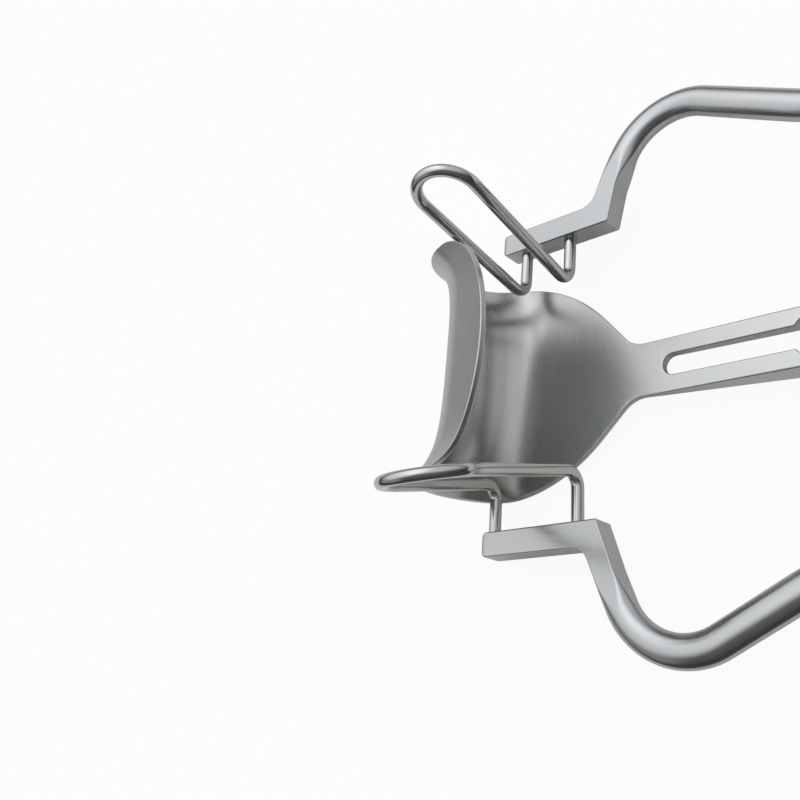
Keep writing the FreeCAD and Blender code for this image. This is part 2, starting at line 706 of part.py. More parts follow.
def add_wing_nut():
    """Tapered hub with two raised wings."""
    hub = on_axis(
        "Part::Cone", "nut_hub", "-Z", Radius1="nut_hub_diameter / 2",
        Radius2="nut_hub_diameter / 2 - nut_hub_taper", Height="nut_hub_height", z=NUT_TOP,
    )
    wings = []
    for side in (-1, 1):
        wing = DOC.addObject("Part::Extrusion", "nut_wing")
        wing.Base = coded("nut_wing_outline", wing_outline(side))
        wing.Dir = V(0, 1, 0)
        wing.Solid = True
        wing.Symmetric = True
        wing.setExpression("LengthFwd", cells("nut_wing_thickness"))
        wing.setExpression("Placement.Base.x", cells("shank_offset"))
        wing.setExpression("Placement.Base.y", cells("-rod_middle"))
        wing.setExpression("Placement.Base.z", cells(NUT_TOP))
        wings.append(wing)
    bore = on_axis(
        "Part::Cylinder", "nut_bore", "-Z", Radius="stud_diameter / 2 + rod_running_gap",
        Height="2 * nut_hub_height", z=f"{NUT_TOP} + nut_hub_taper",
    )
    return less("wing_nut", joined("nut_body", hub, *wings), bore)


def add_end_screw(y):
    """Slotted screw through the end bar into one rod."""
    head = bound(
        "Part::Cylinder", "screw_head", "-X", Radius="screw_head_diameter / 2", Height="screw_head_height",
        x=SCREW_SEAT, y=y,
    )
    slot = bound(
        "Part::Box", "screw_slot", Length="screw_head_height / 2", Width="screw_head_diameter",
        Height="screw_slot", x=f"{SCREW_SEAT} - screw_head_height", y=f"{y} - screw_head_diameter / 2",
        z="-screw_slot / 2",
    )
    shaft = bound(
        "Part::Cylinder", "screw_shaft", "+X", Radius="screw_diameter / 2", Height="screw_length",
        x=SCREW_SEAT, y=y,
    )
    return joined("end_screw", less("slotted_head", head, slot), shaft)


def add_rod(name, y):
    """Rod with a pin hole at its fixed end and a screw hole at its free end."""
    bar = bound(
        "Part::Cylinder", f"{name}_bar", "+X", Radius="rod_diameter / 2",
        Height="2 * boss_centre + travel + boss_width + stop_gap", x=ROD_END, y=y,
    )
    hole = bound(
        "Part::Cylinder", f"{name}_screw_hole", "+X", Radius="screw_diameter / 2 + wire_fit",
        Height="screw_length - end_bar_width + screw_tip_gap", x=ROD_END, y=y,
    )
    return less(name, bar, hole, add_pin(f"{name}_pin_hole", y, "wire_fit"))


def add_end_bar():
    """Bar that joins the rods' free ends, with round long edges."""
    block = bound(
        "Part::Box", "end_bar_block", Length="end_bar_width", Width="rod_spacing + 2 * end_bar_margin",
        Height="end_bar_height", x=SCREW_SEAT, y="-rod_middle - rod_spacing / 2 - end_bar_margin",
        z="-end_bar_height / 2",
    )
    radius = size("end_bar_height") * size("end_bar_roundness")
    bar = rounded("end_bar_rounded", block, radius, V(1, 0, 0))
    holes = [
        bound(
            "Part::Cylinder", "end_bar_hole", "+X", Radius="screw_diameter / 2 + rod_seat_gap",
            Height="3 * end_bar_width", x=f"{SCREW_SEAT} - end_bar_width", y=y,
        )
        for y in ROD_Y
    ]
    return less("rod_end_bar", bar, *holes)


def lowest(shape, angle):
    """Lowest Z of a shape turned about X by an angle."""
    turned = shape.copy()
    turned.rotate(V(0, 0, 0), V(1, 0, 0), angle)
    return turned.optimalBoundingBox(False).ZMin


def rest_angle(blade, nut):
    """Turn about X at which the blade's back and the nut's wings stand on one plane."""
    low, high = -20.0, 0.0
    for _ in range(20):
        middle = (low + high) / 2
        if lowest(nut, middle) > lowest(blade, middle):
            low = middle
        else:
            high = middle
    return (low + high) / 2


NODES = [
    add_arm(1),
    add_arm(-1),
    add_wire_blade(1),
    add_wire_blade(-1),
    add_rod("front_rod", ROD_Y[0]),
    add_rod("rear_rod", ROD_Y[1]),
    grouped("rod_pins", *[add_pin("rod_pin", y) for y in ROD_Y]),
    add_end_bar(),
    grouped("end_bar_screws", *[add_end_screw(y) for y in ROD_Y]),
    add_carriage(),
    add_stud("clamp_stud"),
    add_ring(
        "pressure_washer", "washer_diameter / 2", "stud_diameter / 2 + rod_running_gap", "washer_thickness",
        WASHER_LOW,
    ),
    add_wing_nut(),
    add_ring(
        "stud_stop_ring", "stop_ring_diameter / 2", "stud_diameter / 2 + wire_fit", "stop_ring_height", STUD_END
    ),
    add_center_blade(),
]
DOC.recompute()
SHAPES = {node.Name: node.Shape for node in NODES}
PAIRS = ("rod_pins", "end_bar_screws")


def rest_placement():
    """Placement that stands the level frame on the floor with its origin bottom centre."""
    angle = rest_angle(SHAPES["center_blade"], SHAPES["wing_nut"])
    turn = FreeCAD.Rotation(V(1, 0, 0), angle)
    everything = Part.makeCompound(list(SHAPES.values()))
    everything.Placement = FreeCAD.Placement(V(0, 0, 0), turn)
    box = everything.optimalBoundingBox(False)
    middle = V((box.XMin + box.XMax) / 2, (box.YMin + box.YMax) / 2, box.ZMin)
    print("rest angle", round(angle, 4), "moved by", [round(-value, 4) for value in middle])
    return FreeCAD.Placement(middle * -1, turn)


REST = rest_placement()
for node in NODES:
    node.Label = node.Name
    node.Placement = REST
DOC.recompute()

for feature in DOC.Objects:
    if "Invalid" in feature.State or "Error" in feature.State:
        raise RuntimeError(f"{feature.Label} failed: {feature.State}")
for node in NODES:
    if node.Shape.isNull() or not node.Shape.isValid():
        raise RuntimeError(f"{node.Label} has no valid shape")
    if len(node.Shape.Solids) != (2 if node.Label in PAIRS else 1):
        raise RuntimeError(f"{node.Label} has {len(node.Shape.Solids)} solids")

os.makedirs("parts", exist_ok=True)
for node in NODES:
    node.Shape.exportStep(f"parts/{node.Label}.step")
    print(node.Label, round(node.Shape.Volume, 1), len(node.Shape.Solids))
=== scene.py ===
"""Looks of a self-retaining abdominal frame retractor, built around its fixed frame.

The retractor is drawn in its level frame, in millimetres: X runs along the rods towards the
fixed arm, Y points forward to the blades, Z points up out of the wound side, and Z = 0 is the
middle plane of the arms.  LevelFrame lays everything on the floor in metres.
"""

import json
import logging
import math
from dataclasses import dataclass
from enum import Enum
from typing import Any, Optional, Sequence

import bmesh
import bpy
from mathutils import Matrix, Vector
from mathutils.geometry import delaunay_2d_cdt

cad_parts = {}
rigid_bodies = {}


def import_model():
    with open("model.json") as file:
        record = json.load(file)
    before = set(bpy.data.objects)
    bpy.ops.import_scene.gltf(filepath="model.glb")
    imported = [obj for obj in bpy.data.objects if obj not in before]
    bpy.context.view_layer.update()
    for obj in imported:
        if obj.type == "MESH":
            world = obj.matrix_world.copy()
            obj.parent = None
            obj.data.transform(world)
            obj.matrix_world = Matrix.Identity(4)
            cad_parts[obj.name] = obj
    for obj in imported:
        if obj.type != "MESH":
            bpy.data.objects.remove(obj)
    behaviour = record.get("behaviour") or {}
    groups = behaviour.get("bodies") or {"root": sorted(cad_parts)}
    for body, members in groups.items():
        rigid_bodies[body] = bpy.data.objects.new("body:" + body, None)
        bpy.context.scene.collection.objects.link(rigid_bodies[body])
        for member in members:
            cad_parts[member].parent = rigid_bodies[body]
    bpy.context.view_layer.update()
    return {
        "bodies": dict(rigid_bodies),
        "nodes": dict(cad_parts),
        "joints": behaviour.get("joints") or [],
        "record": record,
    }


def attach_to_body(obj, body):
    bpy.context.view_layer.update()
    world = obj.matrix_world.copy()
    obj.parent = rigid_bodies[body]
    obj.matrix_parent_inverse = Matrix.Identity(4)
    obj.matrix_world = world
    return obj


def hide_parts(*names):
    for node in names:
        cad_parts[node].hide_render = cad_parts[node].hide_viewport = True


LOG = logging.getLogger("retractor")
MM = 0.001
WHITE = (1.0, 1.0, 1.0, 1.0)
Point = Vector
Row = list[Vector]


# Frame of the drawing


class LevelFrame:
    """The level drawing frame and its place in the row frame."""

    NUT = Vector((-0.4, -154.0, -16.0))

    def __init__(self, record: dict[str, Any]) -> None:
        """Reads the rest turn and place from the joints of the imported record.

        Args:
            record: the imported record.
        """
        joints = {joint["name"]: joint for joint in record["behaviour"]["joints"]}
        forward = Vector(joints["blade_slide"]["axis"])
        turn = Matrix.Rotation(math.atan2(forward.z, forward.y), 4, "X")
        nut = Vector(joints["nut_turn"]["pos_m"])
        self.turn = turn
        self.matrix = Matrix.Translation(nut - turn @ (self.NUT * MM)) @ turn @ Matrix.Scale(MM, 4)

    def place(self, obj: bpy.types.Object) -> None:
        """Moves a mesh drawn in level millimetres to its place in metres."""
        obj.data.transform(self.matrix)
        obj.data.update()


class Side(Enum):
    """The two arms and what sits on them."""

    FIXED = 1
    SLIDING = -1


class ArmFrame:
    """Plan coordinates of one arm's front part, in which both arms are alike.

    The sliding arm stands a little turned in and further forward, by its play on the rods.
    """

    PLAY_ANGLE = 1.89
    PLAY_SHIFT = 1.58
    PIVOT = 50.8

    def __init__(self, side: Side) -> None:
        """Gives the sliding arm its play and the fixed arm none.

        Args:
            side: which arm.
        """
        self.side = side
        self.turn = 0.0 if side is Side.FIXED else -math.radians(self.PLAY_ANGLE)
        self.shift = 0.0 if side is Side.FIXED else self.PLAY_SHIFT

    def point(self, x: float, y: float, z: float = 0.0) -> Point:
        """Level point of a point given on the fixed arm."""
        cos, sin = math.cos(self.turn), math.sin(self.turn)
        along = x - self.PIVOT
        return Vector((
            self.side.value * (cos * along - sin * y + self.PIVOT),
            sin * along + cos * y + self.shift,
            z,
        ))


def unit(angle: float) -> Vector:
    """Unit vector in plan at an angle in degrees from +X."""
    return Vector((math.cos(math.radians(angle)), math.sin(math.radians(angle)), 0.0))


def rounded_path(points: Sequence[Point], radii: Sequence[float], step: float = 3.0) -> Row:
    """Points along a path with a tangent arc at each inner corner.

    Args:
        points: corner points.
        radii: arc radius at each inner corner.
        step: turn in degrees between two points of an arc.

    Returns:
        The sampled path.
    """
    path = [points[0].copy()]
    for before, corner, after, radius in zip(points, points[1:], points[2:], radii):
        to_before = (before - corner).normalized()
        to_after = (after - corner).normalized()
        half = to_before.angle(to_after) / 2
        reach = radius / math.tan(half)
        middle = (to_before + to_after).normalized()
        centre = corner + middle * (radius / math.sin(half))
        first = corner + to_before * reach - centre
        last = corner + to_after * reach - centre
        turn = first.angle(last)
        count = max(2, round(math.degrees(turn) / step))
        for index in range(count + 1):
            share = index / count
            spoke = (first * math.sin((1 - share) * turn) + last * math.sin(share * turn)) / math.sin(turn)
            path.append(centre + spoke)
    path.append(points[-1].copy())
    return path


# Meshes


def mesh_object(name: str, maker: bmesh.types.BMesh, merge: float = 0.0) -> bpy.types.Object:
    """Turns a bmesh into a linked object with smooth, outward faces.

    Args:
        name: name of the object.
        maker: the bmesh, freed here.
        merge: distance in millimetres under which vertices are merged.

    Returns:
        The new object.
    """
    if merge:
        bmesh.ops.remove_doubles(maker, verts=maker.verts[:], dist=merge)
    bmesh.ops.recalc_face_normals(maker, faces=maker.faces[:])
    mesh = bpy.data.meshes.new(name)
    maker.to_mesh(mesh)
    maker.free()
    mesh.polygons.foreach_set("use_smooth", [True] * len(mesh.polygons))
    obj = bpy.data.objects.new(name, mesh)
    bpy.context.scene.collection.objects.link(obj)
    return obj


def skin(name: str, rings: Sequence[Row]) -> bpy.types.Object:
    """Closed skin over rings of equally many points, with flat ends.

    Args:
        name: name of the object.
        rings: the rings, in order.

    Returns:
        The new object.
    """
    maker = bmesh.new()
    rows = [[maker.verts.new(point) for point in ring] for ring in rings]
    for low, high in zip(rows, rows[1:]):
        for index in range(len(low)):
            other = (index + 1) % len(low)
            maker.faces.new((low[index], low[other], high[other], high[index]))
    maker.faces.new(rows[0][::-1])
    maker.faces.new(rows[-1])
    return mesh_object(name, maker, merge=0.002)


def cylinder(name: str, begin: Point, end: Point, radius: float, sides: int = 48) -> bpy.types.Object:
    """Closed cylinder between two points."""
    along = (end - begin).normalized()
    across = along.orthogonal().normalized()
    other = along.cross(across)
    rings = []
    for centre in (begin, end):
        turns = [2 * math.pi * index / sides for index in range(sides)]
        rings.append([centre + (across * math.cos(t) + other * math.sin(t)) * radius for t in turns])
    return skin(name, rings)


def applied(obj: bpy.types.Object) -> None:
    """Writes an object's modifiers into its mesh and removes them."""
    graph = bpy.context.evaluated_depsgraph_get()
    mesh = bpy.data.meshes.new_from_object(obj.evaluated_get(graph), depsgraph=graph)
    obj.modifiers.clear()
    old = obj.data
    obj.data = mesh
    bpy.data.meshes.remove(old)


class Boolean(Enum):
    """How one mesh is combined with another."""

    JOIN = "UNION"
    CUT = "DIFFERENCE"


def combine(obj: bpy.types.Object, others: Sequence[bpy.types.Object], how: Boolean) -> None:
    """Exact boolean of one object with others, which are used up.

    Args:
        obj: the object that is kept.
        others: the objects joined to it or cut from it.
        how: whether they are joined or cut.
    """
    for other in others:
        modifier = obj.modifiers.new("Combine", "BOOLEAN")
        modifier.operation = how.value
        modifier.solver = "EXACT"
        modifier.object = other
        applied(obj)
        bpy.data.objects.remove(other, do_unlink=True)


def flat_faces(obj: bpy.types.Object) -> None:
    """Keeps an object's flat faces flat to the eye beside its round edges."""
    weighted = obj.modifiers.new("Flats", "WEIGHTED_NORMAL")
    weighted.keep_sharp = True
    weighted.weight = 50


def soft_edges(obj: bpy.types.Object, width: float, angle: float = 35.0, segments: int = 3) -> None:
    """Rounds an object's sharp edges.

    Args:
        obj: the object.
        width: width of the rounding in metres.
        angle: edges that turn more than this many degrees are rounded.
        segments: faces across the rounding.
    """
    bevel = obj.modifiers.new("Edges", "BEVEL")
    bevel.width = width
    bevel.segments = segments
    bevel.limit_method = "ANGLE"
    bevel.angle_limit = math.radians(angle)
    bevel.use_clamp_overlap = True


def merged_copy(
    source: bpy.types.Object, name: str, reach: float = 1e-6, flat: float = 2.0
) -> bpy.types.Object:
    """Copy of a CAD piece whose loose triangles are merged into whole faces.

    Args:
        source: the CAD piece, which stays as it is.
        name: name of the copy.
        reach: distance in metres under which corners are merged.
        flat: faces that turn less than this many degrees become one.

    Returns:
        The copy, in metres.
    """
    maker = bmesh.new()
    maker.from_mesh(source.data)
    bmesh.ops.remove_doubles(maker, verts=maker.verts[:], dist=reach)
    bmesh.ops.dissolve_limit(
        maker, angle_limit=math.radians(flat), verts=maker.verts[:], edges=maker.edges[:],
        use_dissolve_boundaries=False,
    )
    return mesh_object(name, maker)


# Finishes


def linear(colour: str) -> tuple[float, float, float, float]:
    """Linear colour of an sRGB hex string."""
    parts = [int(colour[i:i + 2], 16) / 255 for i in (1, 3, 5)]
    values = [p / 12.92 if p <= 0.04045 else ((p + 0.055) / 1.055) ** 2.4 for p in parts]
    return (values[0], values[1], values[2], 1.0)


def add_node(
    tree: bpy.types.NodeTree,
    kind: str,
    links: Optional[dict[Any, Any]] = None,
    values: Optional[dict[Any, Any]] = None,
    **settings: Any,
) -> bpy.types.Node:
    """Adds one node with its settings, input values and links.

    Args:
        tree: the node tree.
        kind: node type.
        links: output sockets by the input that they feed.
        values: plain values by input.
        **settings: properties of the node.

    Returns:
        The new node.
    """
    node = tree.nodes.new(kind)
    for key, value in settings.items():
        setattr(node, key, value)
    for key, value in (values or {}).items():
        node.inputs[key].default_value = value
    for key, socket in (links or {}).items():
        tree.links.new(socket, node.inputs[key])
    return node


@dataclass(frozen=True)
class SteelFinish:
    """Stainless steel with lines from its grinding or brushing.

    The gaps of lines and waves are in millimetres along X, Y and Z of the level frame, and
    their depths in millimetres.
    """

    name: str
    light: str
    dark: str
    roughness: float
    spread: float
    line_gap: tuple[float, float, float]
    line_depth: float
    wave_gap: tuple[float, float, float]
    wave_depth: float
    polished_above: Optional[float] = None
    polished_roughness: float = 0.07
    polish_band: float = 0.6

    def build(self, frame: LevelFrame) -> bpy.types.Material:
        """Makes the material.

        Args:
            frame: the level frame, along whose axes the lines run.

        Returns:
            The material.
        """
        material = bpy.data.materials.new(self.name)
        material.use_nodes = True
        tree = material.node_tree
        tree.nodes.clear()
        coords = add_node(tree, "ShaderNodeTexCoord")
        tilt = frame.turn.to_euler().x
        level = add_node(
            tree, "ShaderNodeMapping", {"Vector": coords.outputs["Object"]},
            {"Rotation": (-tilt, 0.0, 0.0)}, vector_type="POINT",
        )
        lines = self.pattern(tree, level, self.line_gap, 2.0)
        waves = self.pattern(tree, level, self.wave_gap, 1.0)
        tone = add_node(
            tree, "ShaderNodeMixRGB", {"Fac": waves.outputs["Fac"]},
            {"Color1": linear(self.dark), "Color2": linear(self.light)},
        )
        rough = add_node(
            tree, "ShaderNodeMapRange", {"Value": lines.outputs["Fac"]},
            {"From Min": 0.3, "From Max": 0.7, "To Min": self.roughness - self.spread,
             "To Max": self.roughness + self.spread},
        )
        broad = add_node(
            tree, "ShaderNodeBump", {"Height": waves.outputs["Fac"]},
            {"Strength": 1.0, "Distance": self.wave_depth * MM},
        )
        fine = add_node(
            tree, "ShaderNodeBump", {"Height": lines.outputs["Fac"], "Normal": broad.outputs["Normal"]},
            {"Strength": 1.0, "Distance": self.line_depth * MM},
        )
        shader = add_node(
            tree, "ShaderNodeBsdfPrincipled",
            {"Base Color": tone.outputs["Color"], "Roughness": rough.outputs["Result"],
             "Normal": fine.outputs["Normal"]},
            {"Metallic": 1.0},
        )
        if self.polished_above is not None:
            self.polish(tree, frame, coords, rough, shader)
        add_node(tree, "ShaderNodeOutputMaterial", {"Surface": shader.outputs["BSDF"]})
        return material

    @staticmethod
    def pattern(
        tree: bpy.types.NodeTree, level: bpy.types.Node, gap: tuple[float, float, float], detail: float
    ) -> bpy.types.Node:
        """Noise stretched to the given gaps in millimetres along X, Y and Z."""
        scale = tuple(1.0 / (value * MM) for value in gap)
        mapping = add_node(
            tree, "ShaderNodeMapping", {"Vector": level.outputs["Vector"]}, {"Scale": scale},
        )
        return add_node(
            tree, "ShaderNodeTexNoise", {"Vector": mapping.outputs["Vector"]},
            {"Scale": 1.0, "Detail": detail, "Roughness": 0.55},
        )

    def polish(
        self, tree: bpy.types.NodeTree, frame: LevelFrame, coords: bpy.types.Node,
        rough: bpy.types.Node, shader: bpy.types.Node,
    ) -> None:
        """Takes the roughness down above a height over the floor, as on the polished loop ends."""
        height = add_node(tree, "ShaderNodeSeparateXYZ", {"Vector": coords.outputs["Object"]})
        line = self.polished_above * MM
        band = self.polish_band * MM
        share = add_node(
            tree, "ShaderNodeMapRange", {"Value": height.outputs["Z"]},
            {"From Min": line - band, "From Max": line + band},
        )
        smooth = add_node(
            tree, "ShaderNodeMix", {"Factor": share.outputs["Result"], "A": rough.outputs["Result"]},
            {"B": self.polished_roughness}, data_type="FLOAT",
        )
        tree.links.new(smooth.outputs["Result"], shader.inputs["Roughness"])


# Satin ground stainless steel: soft grey with long faint lines and no clear mirror image.  The
# real lines are finer than 0.1 mm; they are drawn 0.7 mm apart so that they show.
ARM_STEEL = SteelFinish(
    name="satin_ground_steel", light="#BCBDBC", dark="#B3B5B5", roughness=0.20, spread=0.03,
    line_gap=(0.7, 40.0, 0.7), line_depth=0.0004, wave_gap=(18.0, 50.0, 18.0), wave_depth=0.006,
)
# Drawn stainless wire, rubbed satin on its straight runs and polished on the loop's end.  It has
# no lines, only broad faint changes of gloss and tone.
WIRE_STEEL = SteelFinish(
    name="drawn_wire_steel", light="#C8C8C2", dark="#BEBEB8", roughness=0.17, spread=0.03,
    line_gap=(7.0, 7.0, 30.0), line_depth=0.0, wave_gap=(12.0, 12.0, 30.0), wave_depth=0.0,
    polished_above=52.0,
)
# Centreless ground rod: bright, with fine rings drawn 0.5 mm apart, coarser than the real ones.
ROD_STEEL = SteelFinish(
    name="ground_rod_steel", light="#B4B6B6", dark="#A6A8A8", roughness=0.16, spread=0.03,
    line_gap=(0.5, 9.0, 9.0), line_depth=0.002, wave_gap=(12.0, 9.0, 9.0), wave_depth=0.01,
)
# Turned small parts: bright, with tool rings drawn 0.5 mm apart, coarser than the real ones.
TURNED_STEEL = SteelFinish(
    name="turned_steel", light="#B0B1B0", dark="#A0A2A2", roughness=0.22, spread=0.04,
    line_gap=(6.0, 6.0, 0.5), line_depth=0.003, wave_gap=(8.0, 8.0, 8.0), wave_depth=0.01,
)
# Blade sheet, rubbed satin across its width: duller and a little warmer than the arms.  The real
# marks are finer than 0.1 mm; they are drawn 0.6 mm apart so that they show.
BLADE_STEEL = SteelFinish(
    name="satin_blade_steel", light="#BFC1BD", dark="#B9BBB7", roughness=0.29, spread=0.02,
    line_gap=(16.0, 0.6, 0.6), line_depth=0.0008, wave_gap=(40.0, 20.0, 20.0), wave_depth=0.004,
)
FINISHES = {
    "satin_steel": ARM_STEEL,
    "wire_steel": WIRE_STEEL,
    "ground_steel": ROD_STEEL,
    "turned_steel": TURNED_STEEL,
    "blade_steel": BLADE_STEEL,
}


# Sub-assemblies


@dataclass
class WireBlade:
    """Side blade bent from one wire: two legs and a long round-ended loop."""

    side: Side
    leg_front: float
    leg_spacing: float
    splay: float
    rake: float
    diameter: float = 4.0
    leg_length: float = 17.1
    leg_bend: float = 4.6
    height: float = 63.3
    lean: float = 14.1
    block_inner: float = 50.8
    socket: float = 6.2
    socket_gap: float = 0.1
    bend_step: float = 4.0
    crown_points: int = 60
    sides: int = 40

    def path(self) -> Row:
        """Centre line of the wire, in level millimetres."""
        arm = ArmFrame(self.side)
        lean, rake, splay = (math.radians(value) for value in (self.lean, self.rake, self.splay))
        foot = self.block_inner - self.leg_length
        end = self.block_inner + self.socket - self.socket_gap
        front = -self.leg_front
        rear = front - self.leg_spacing
        middle = (front + rear) / 2
        half = (front - rear) / 2
        top = (half + self.height * math.tan(splay)) / (
            math.cos(splay) + math.tan(splay) * (1 + math.sin(splay))
        )
        up = Vector((math.sin(lean), math.sin(rake), 0.0))
        up.z = math.sqrt(1 - up.x ** 2 - up.y ** 2)

        def on_loop(across: float, rise: float) -> Point:
            """Point of the leaning loop, by its way across and up from the feet."""
            return arm.point(foot + rise * up.x, middle + across + rise * up.y, rise * up.z)

        crown = self.height - top
        meet = (top * math.cos(splay), crown - top * math.sin(splay))
        front_part = rounded_path(
            [arm.point(end, front), arm.point(foot, front), on_loop(*meet)],
            [self.leg_bend], self.bend_step,
        )
        rear_part = rounded_path(
            [on_loop(-meet[0], meet[1]), arm.point(foot, rear), arm.point(end, rear)],
            [self.leg_bend], self.bend_step,
        )
        crown_part = []
        for index in range(1, self.crown_points):
            angle = (math.pi + 2 * splay) * index / self.crown_points - splay
            crown_part.append(on_loop(top * math.cos(angle), crown + top * math.sin(angle)))
        return front_part + crown_part + rear_part

    def tree(self, material: bpy.types.Material) -> bpy.types.NodeTree:
        """Geometry nodes that sweep a round wire along a curve."""
        group = bpy.data.node_groups.new("bent_wire", "GeometryNodeTree")
        face = group.interface
        face.new_socket("Path", in_out="INPUT", socket_type="NodeSocketGeometry")
        face.new_socket("Radius", in_out="INPUT", socket_type="NodeSocketFloat")
        face.new_socket("Sides", in_out="INPUT", socket_type="NodeSocketInt")
        face.new_socket("Wire", in_out="OUTPUT", socket_type="NodeSocketGeometry")
        start = add_node(group, "NodeGroupInput")
        ring = add_node(
            group, "GeometryNodeCurvePrimitiveCircle",
            {"Resolution": start.outputs["Sides"], "Radius": start.outputs["Radius"]}, mode="RADIUS",
        )
        sweep = add_node(
            group, "GeometryNodeCurveToMesh",
            {"Curve": start.outputs["Path"], "Profile Curve": ring.outputs["Curve"]}, {"Fill Caps": True},
        )
        smooth = add_node(group, "GeometryNodeSetShadeSmooth", {"Geometry": sweep.outputs["Mesh"]})
        whole = add_node(group, "GeometryNodeRealizeInstances", {"Geometry": smooth.outputs["Geometry"]})
        finish = add_node(
            group, "GeometryNodeSetMaterial", {"Geometry": whole.outputs["Geometry"]}, {"Material": material}
        )
        add_node(group, "NodeGroupOutput", {0: finish.outputs["Geometry"]})
        return group

    def build(self, name: str, material: bpy.types.Material) -> bpy.types.Object:
        """Makes the bent wire as one plain mesh.

        Args:
            name: name of the piece.
            material: its finish.

        Returns:
            The wire, in level millimetres.
        """
        points = self.path()
        curve = bpy.data.curves.new(name + "_path", "CURVE")
        curve.dimensions = "3D"
        spline = curve.splines.new("POLY")
        spline.points.add(len(points) - 1)
        for slot, point in zip(spline.points, points):
            slot.co = (*point, 1.0)
        holder = bpy.data.objects.new(name, curve)
        bpy.context.scene.collection.objects.link(holder)
        group = self.tree(material)
        modifier = holder.modifiers.new("Sweep", "NODES")
        modifier.node_group = group
        sockets = [item for item in group.interface.items_tree if item.in_out == "INPUT"]
        inputs = {item.name: item.identifier for item in sockets}
        modifier[inputs["Radius"]] = self.diameter / 2
        modifier[inputs["Sides"]] = self.sides
        graph = bpy.context.evaluated_depsgraph_get()
        mesh = bpy.data.meshes.new_from_object(holder.evaluated_get(graph), depsgraph=graph)
        bpy.data.objects.remove(holder, do_unlink=True)
        obj = bpy.data.objects.new(name, mesh)
        bpy.context.scene.collection.objects.link(obj)
        return obj


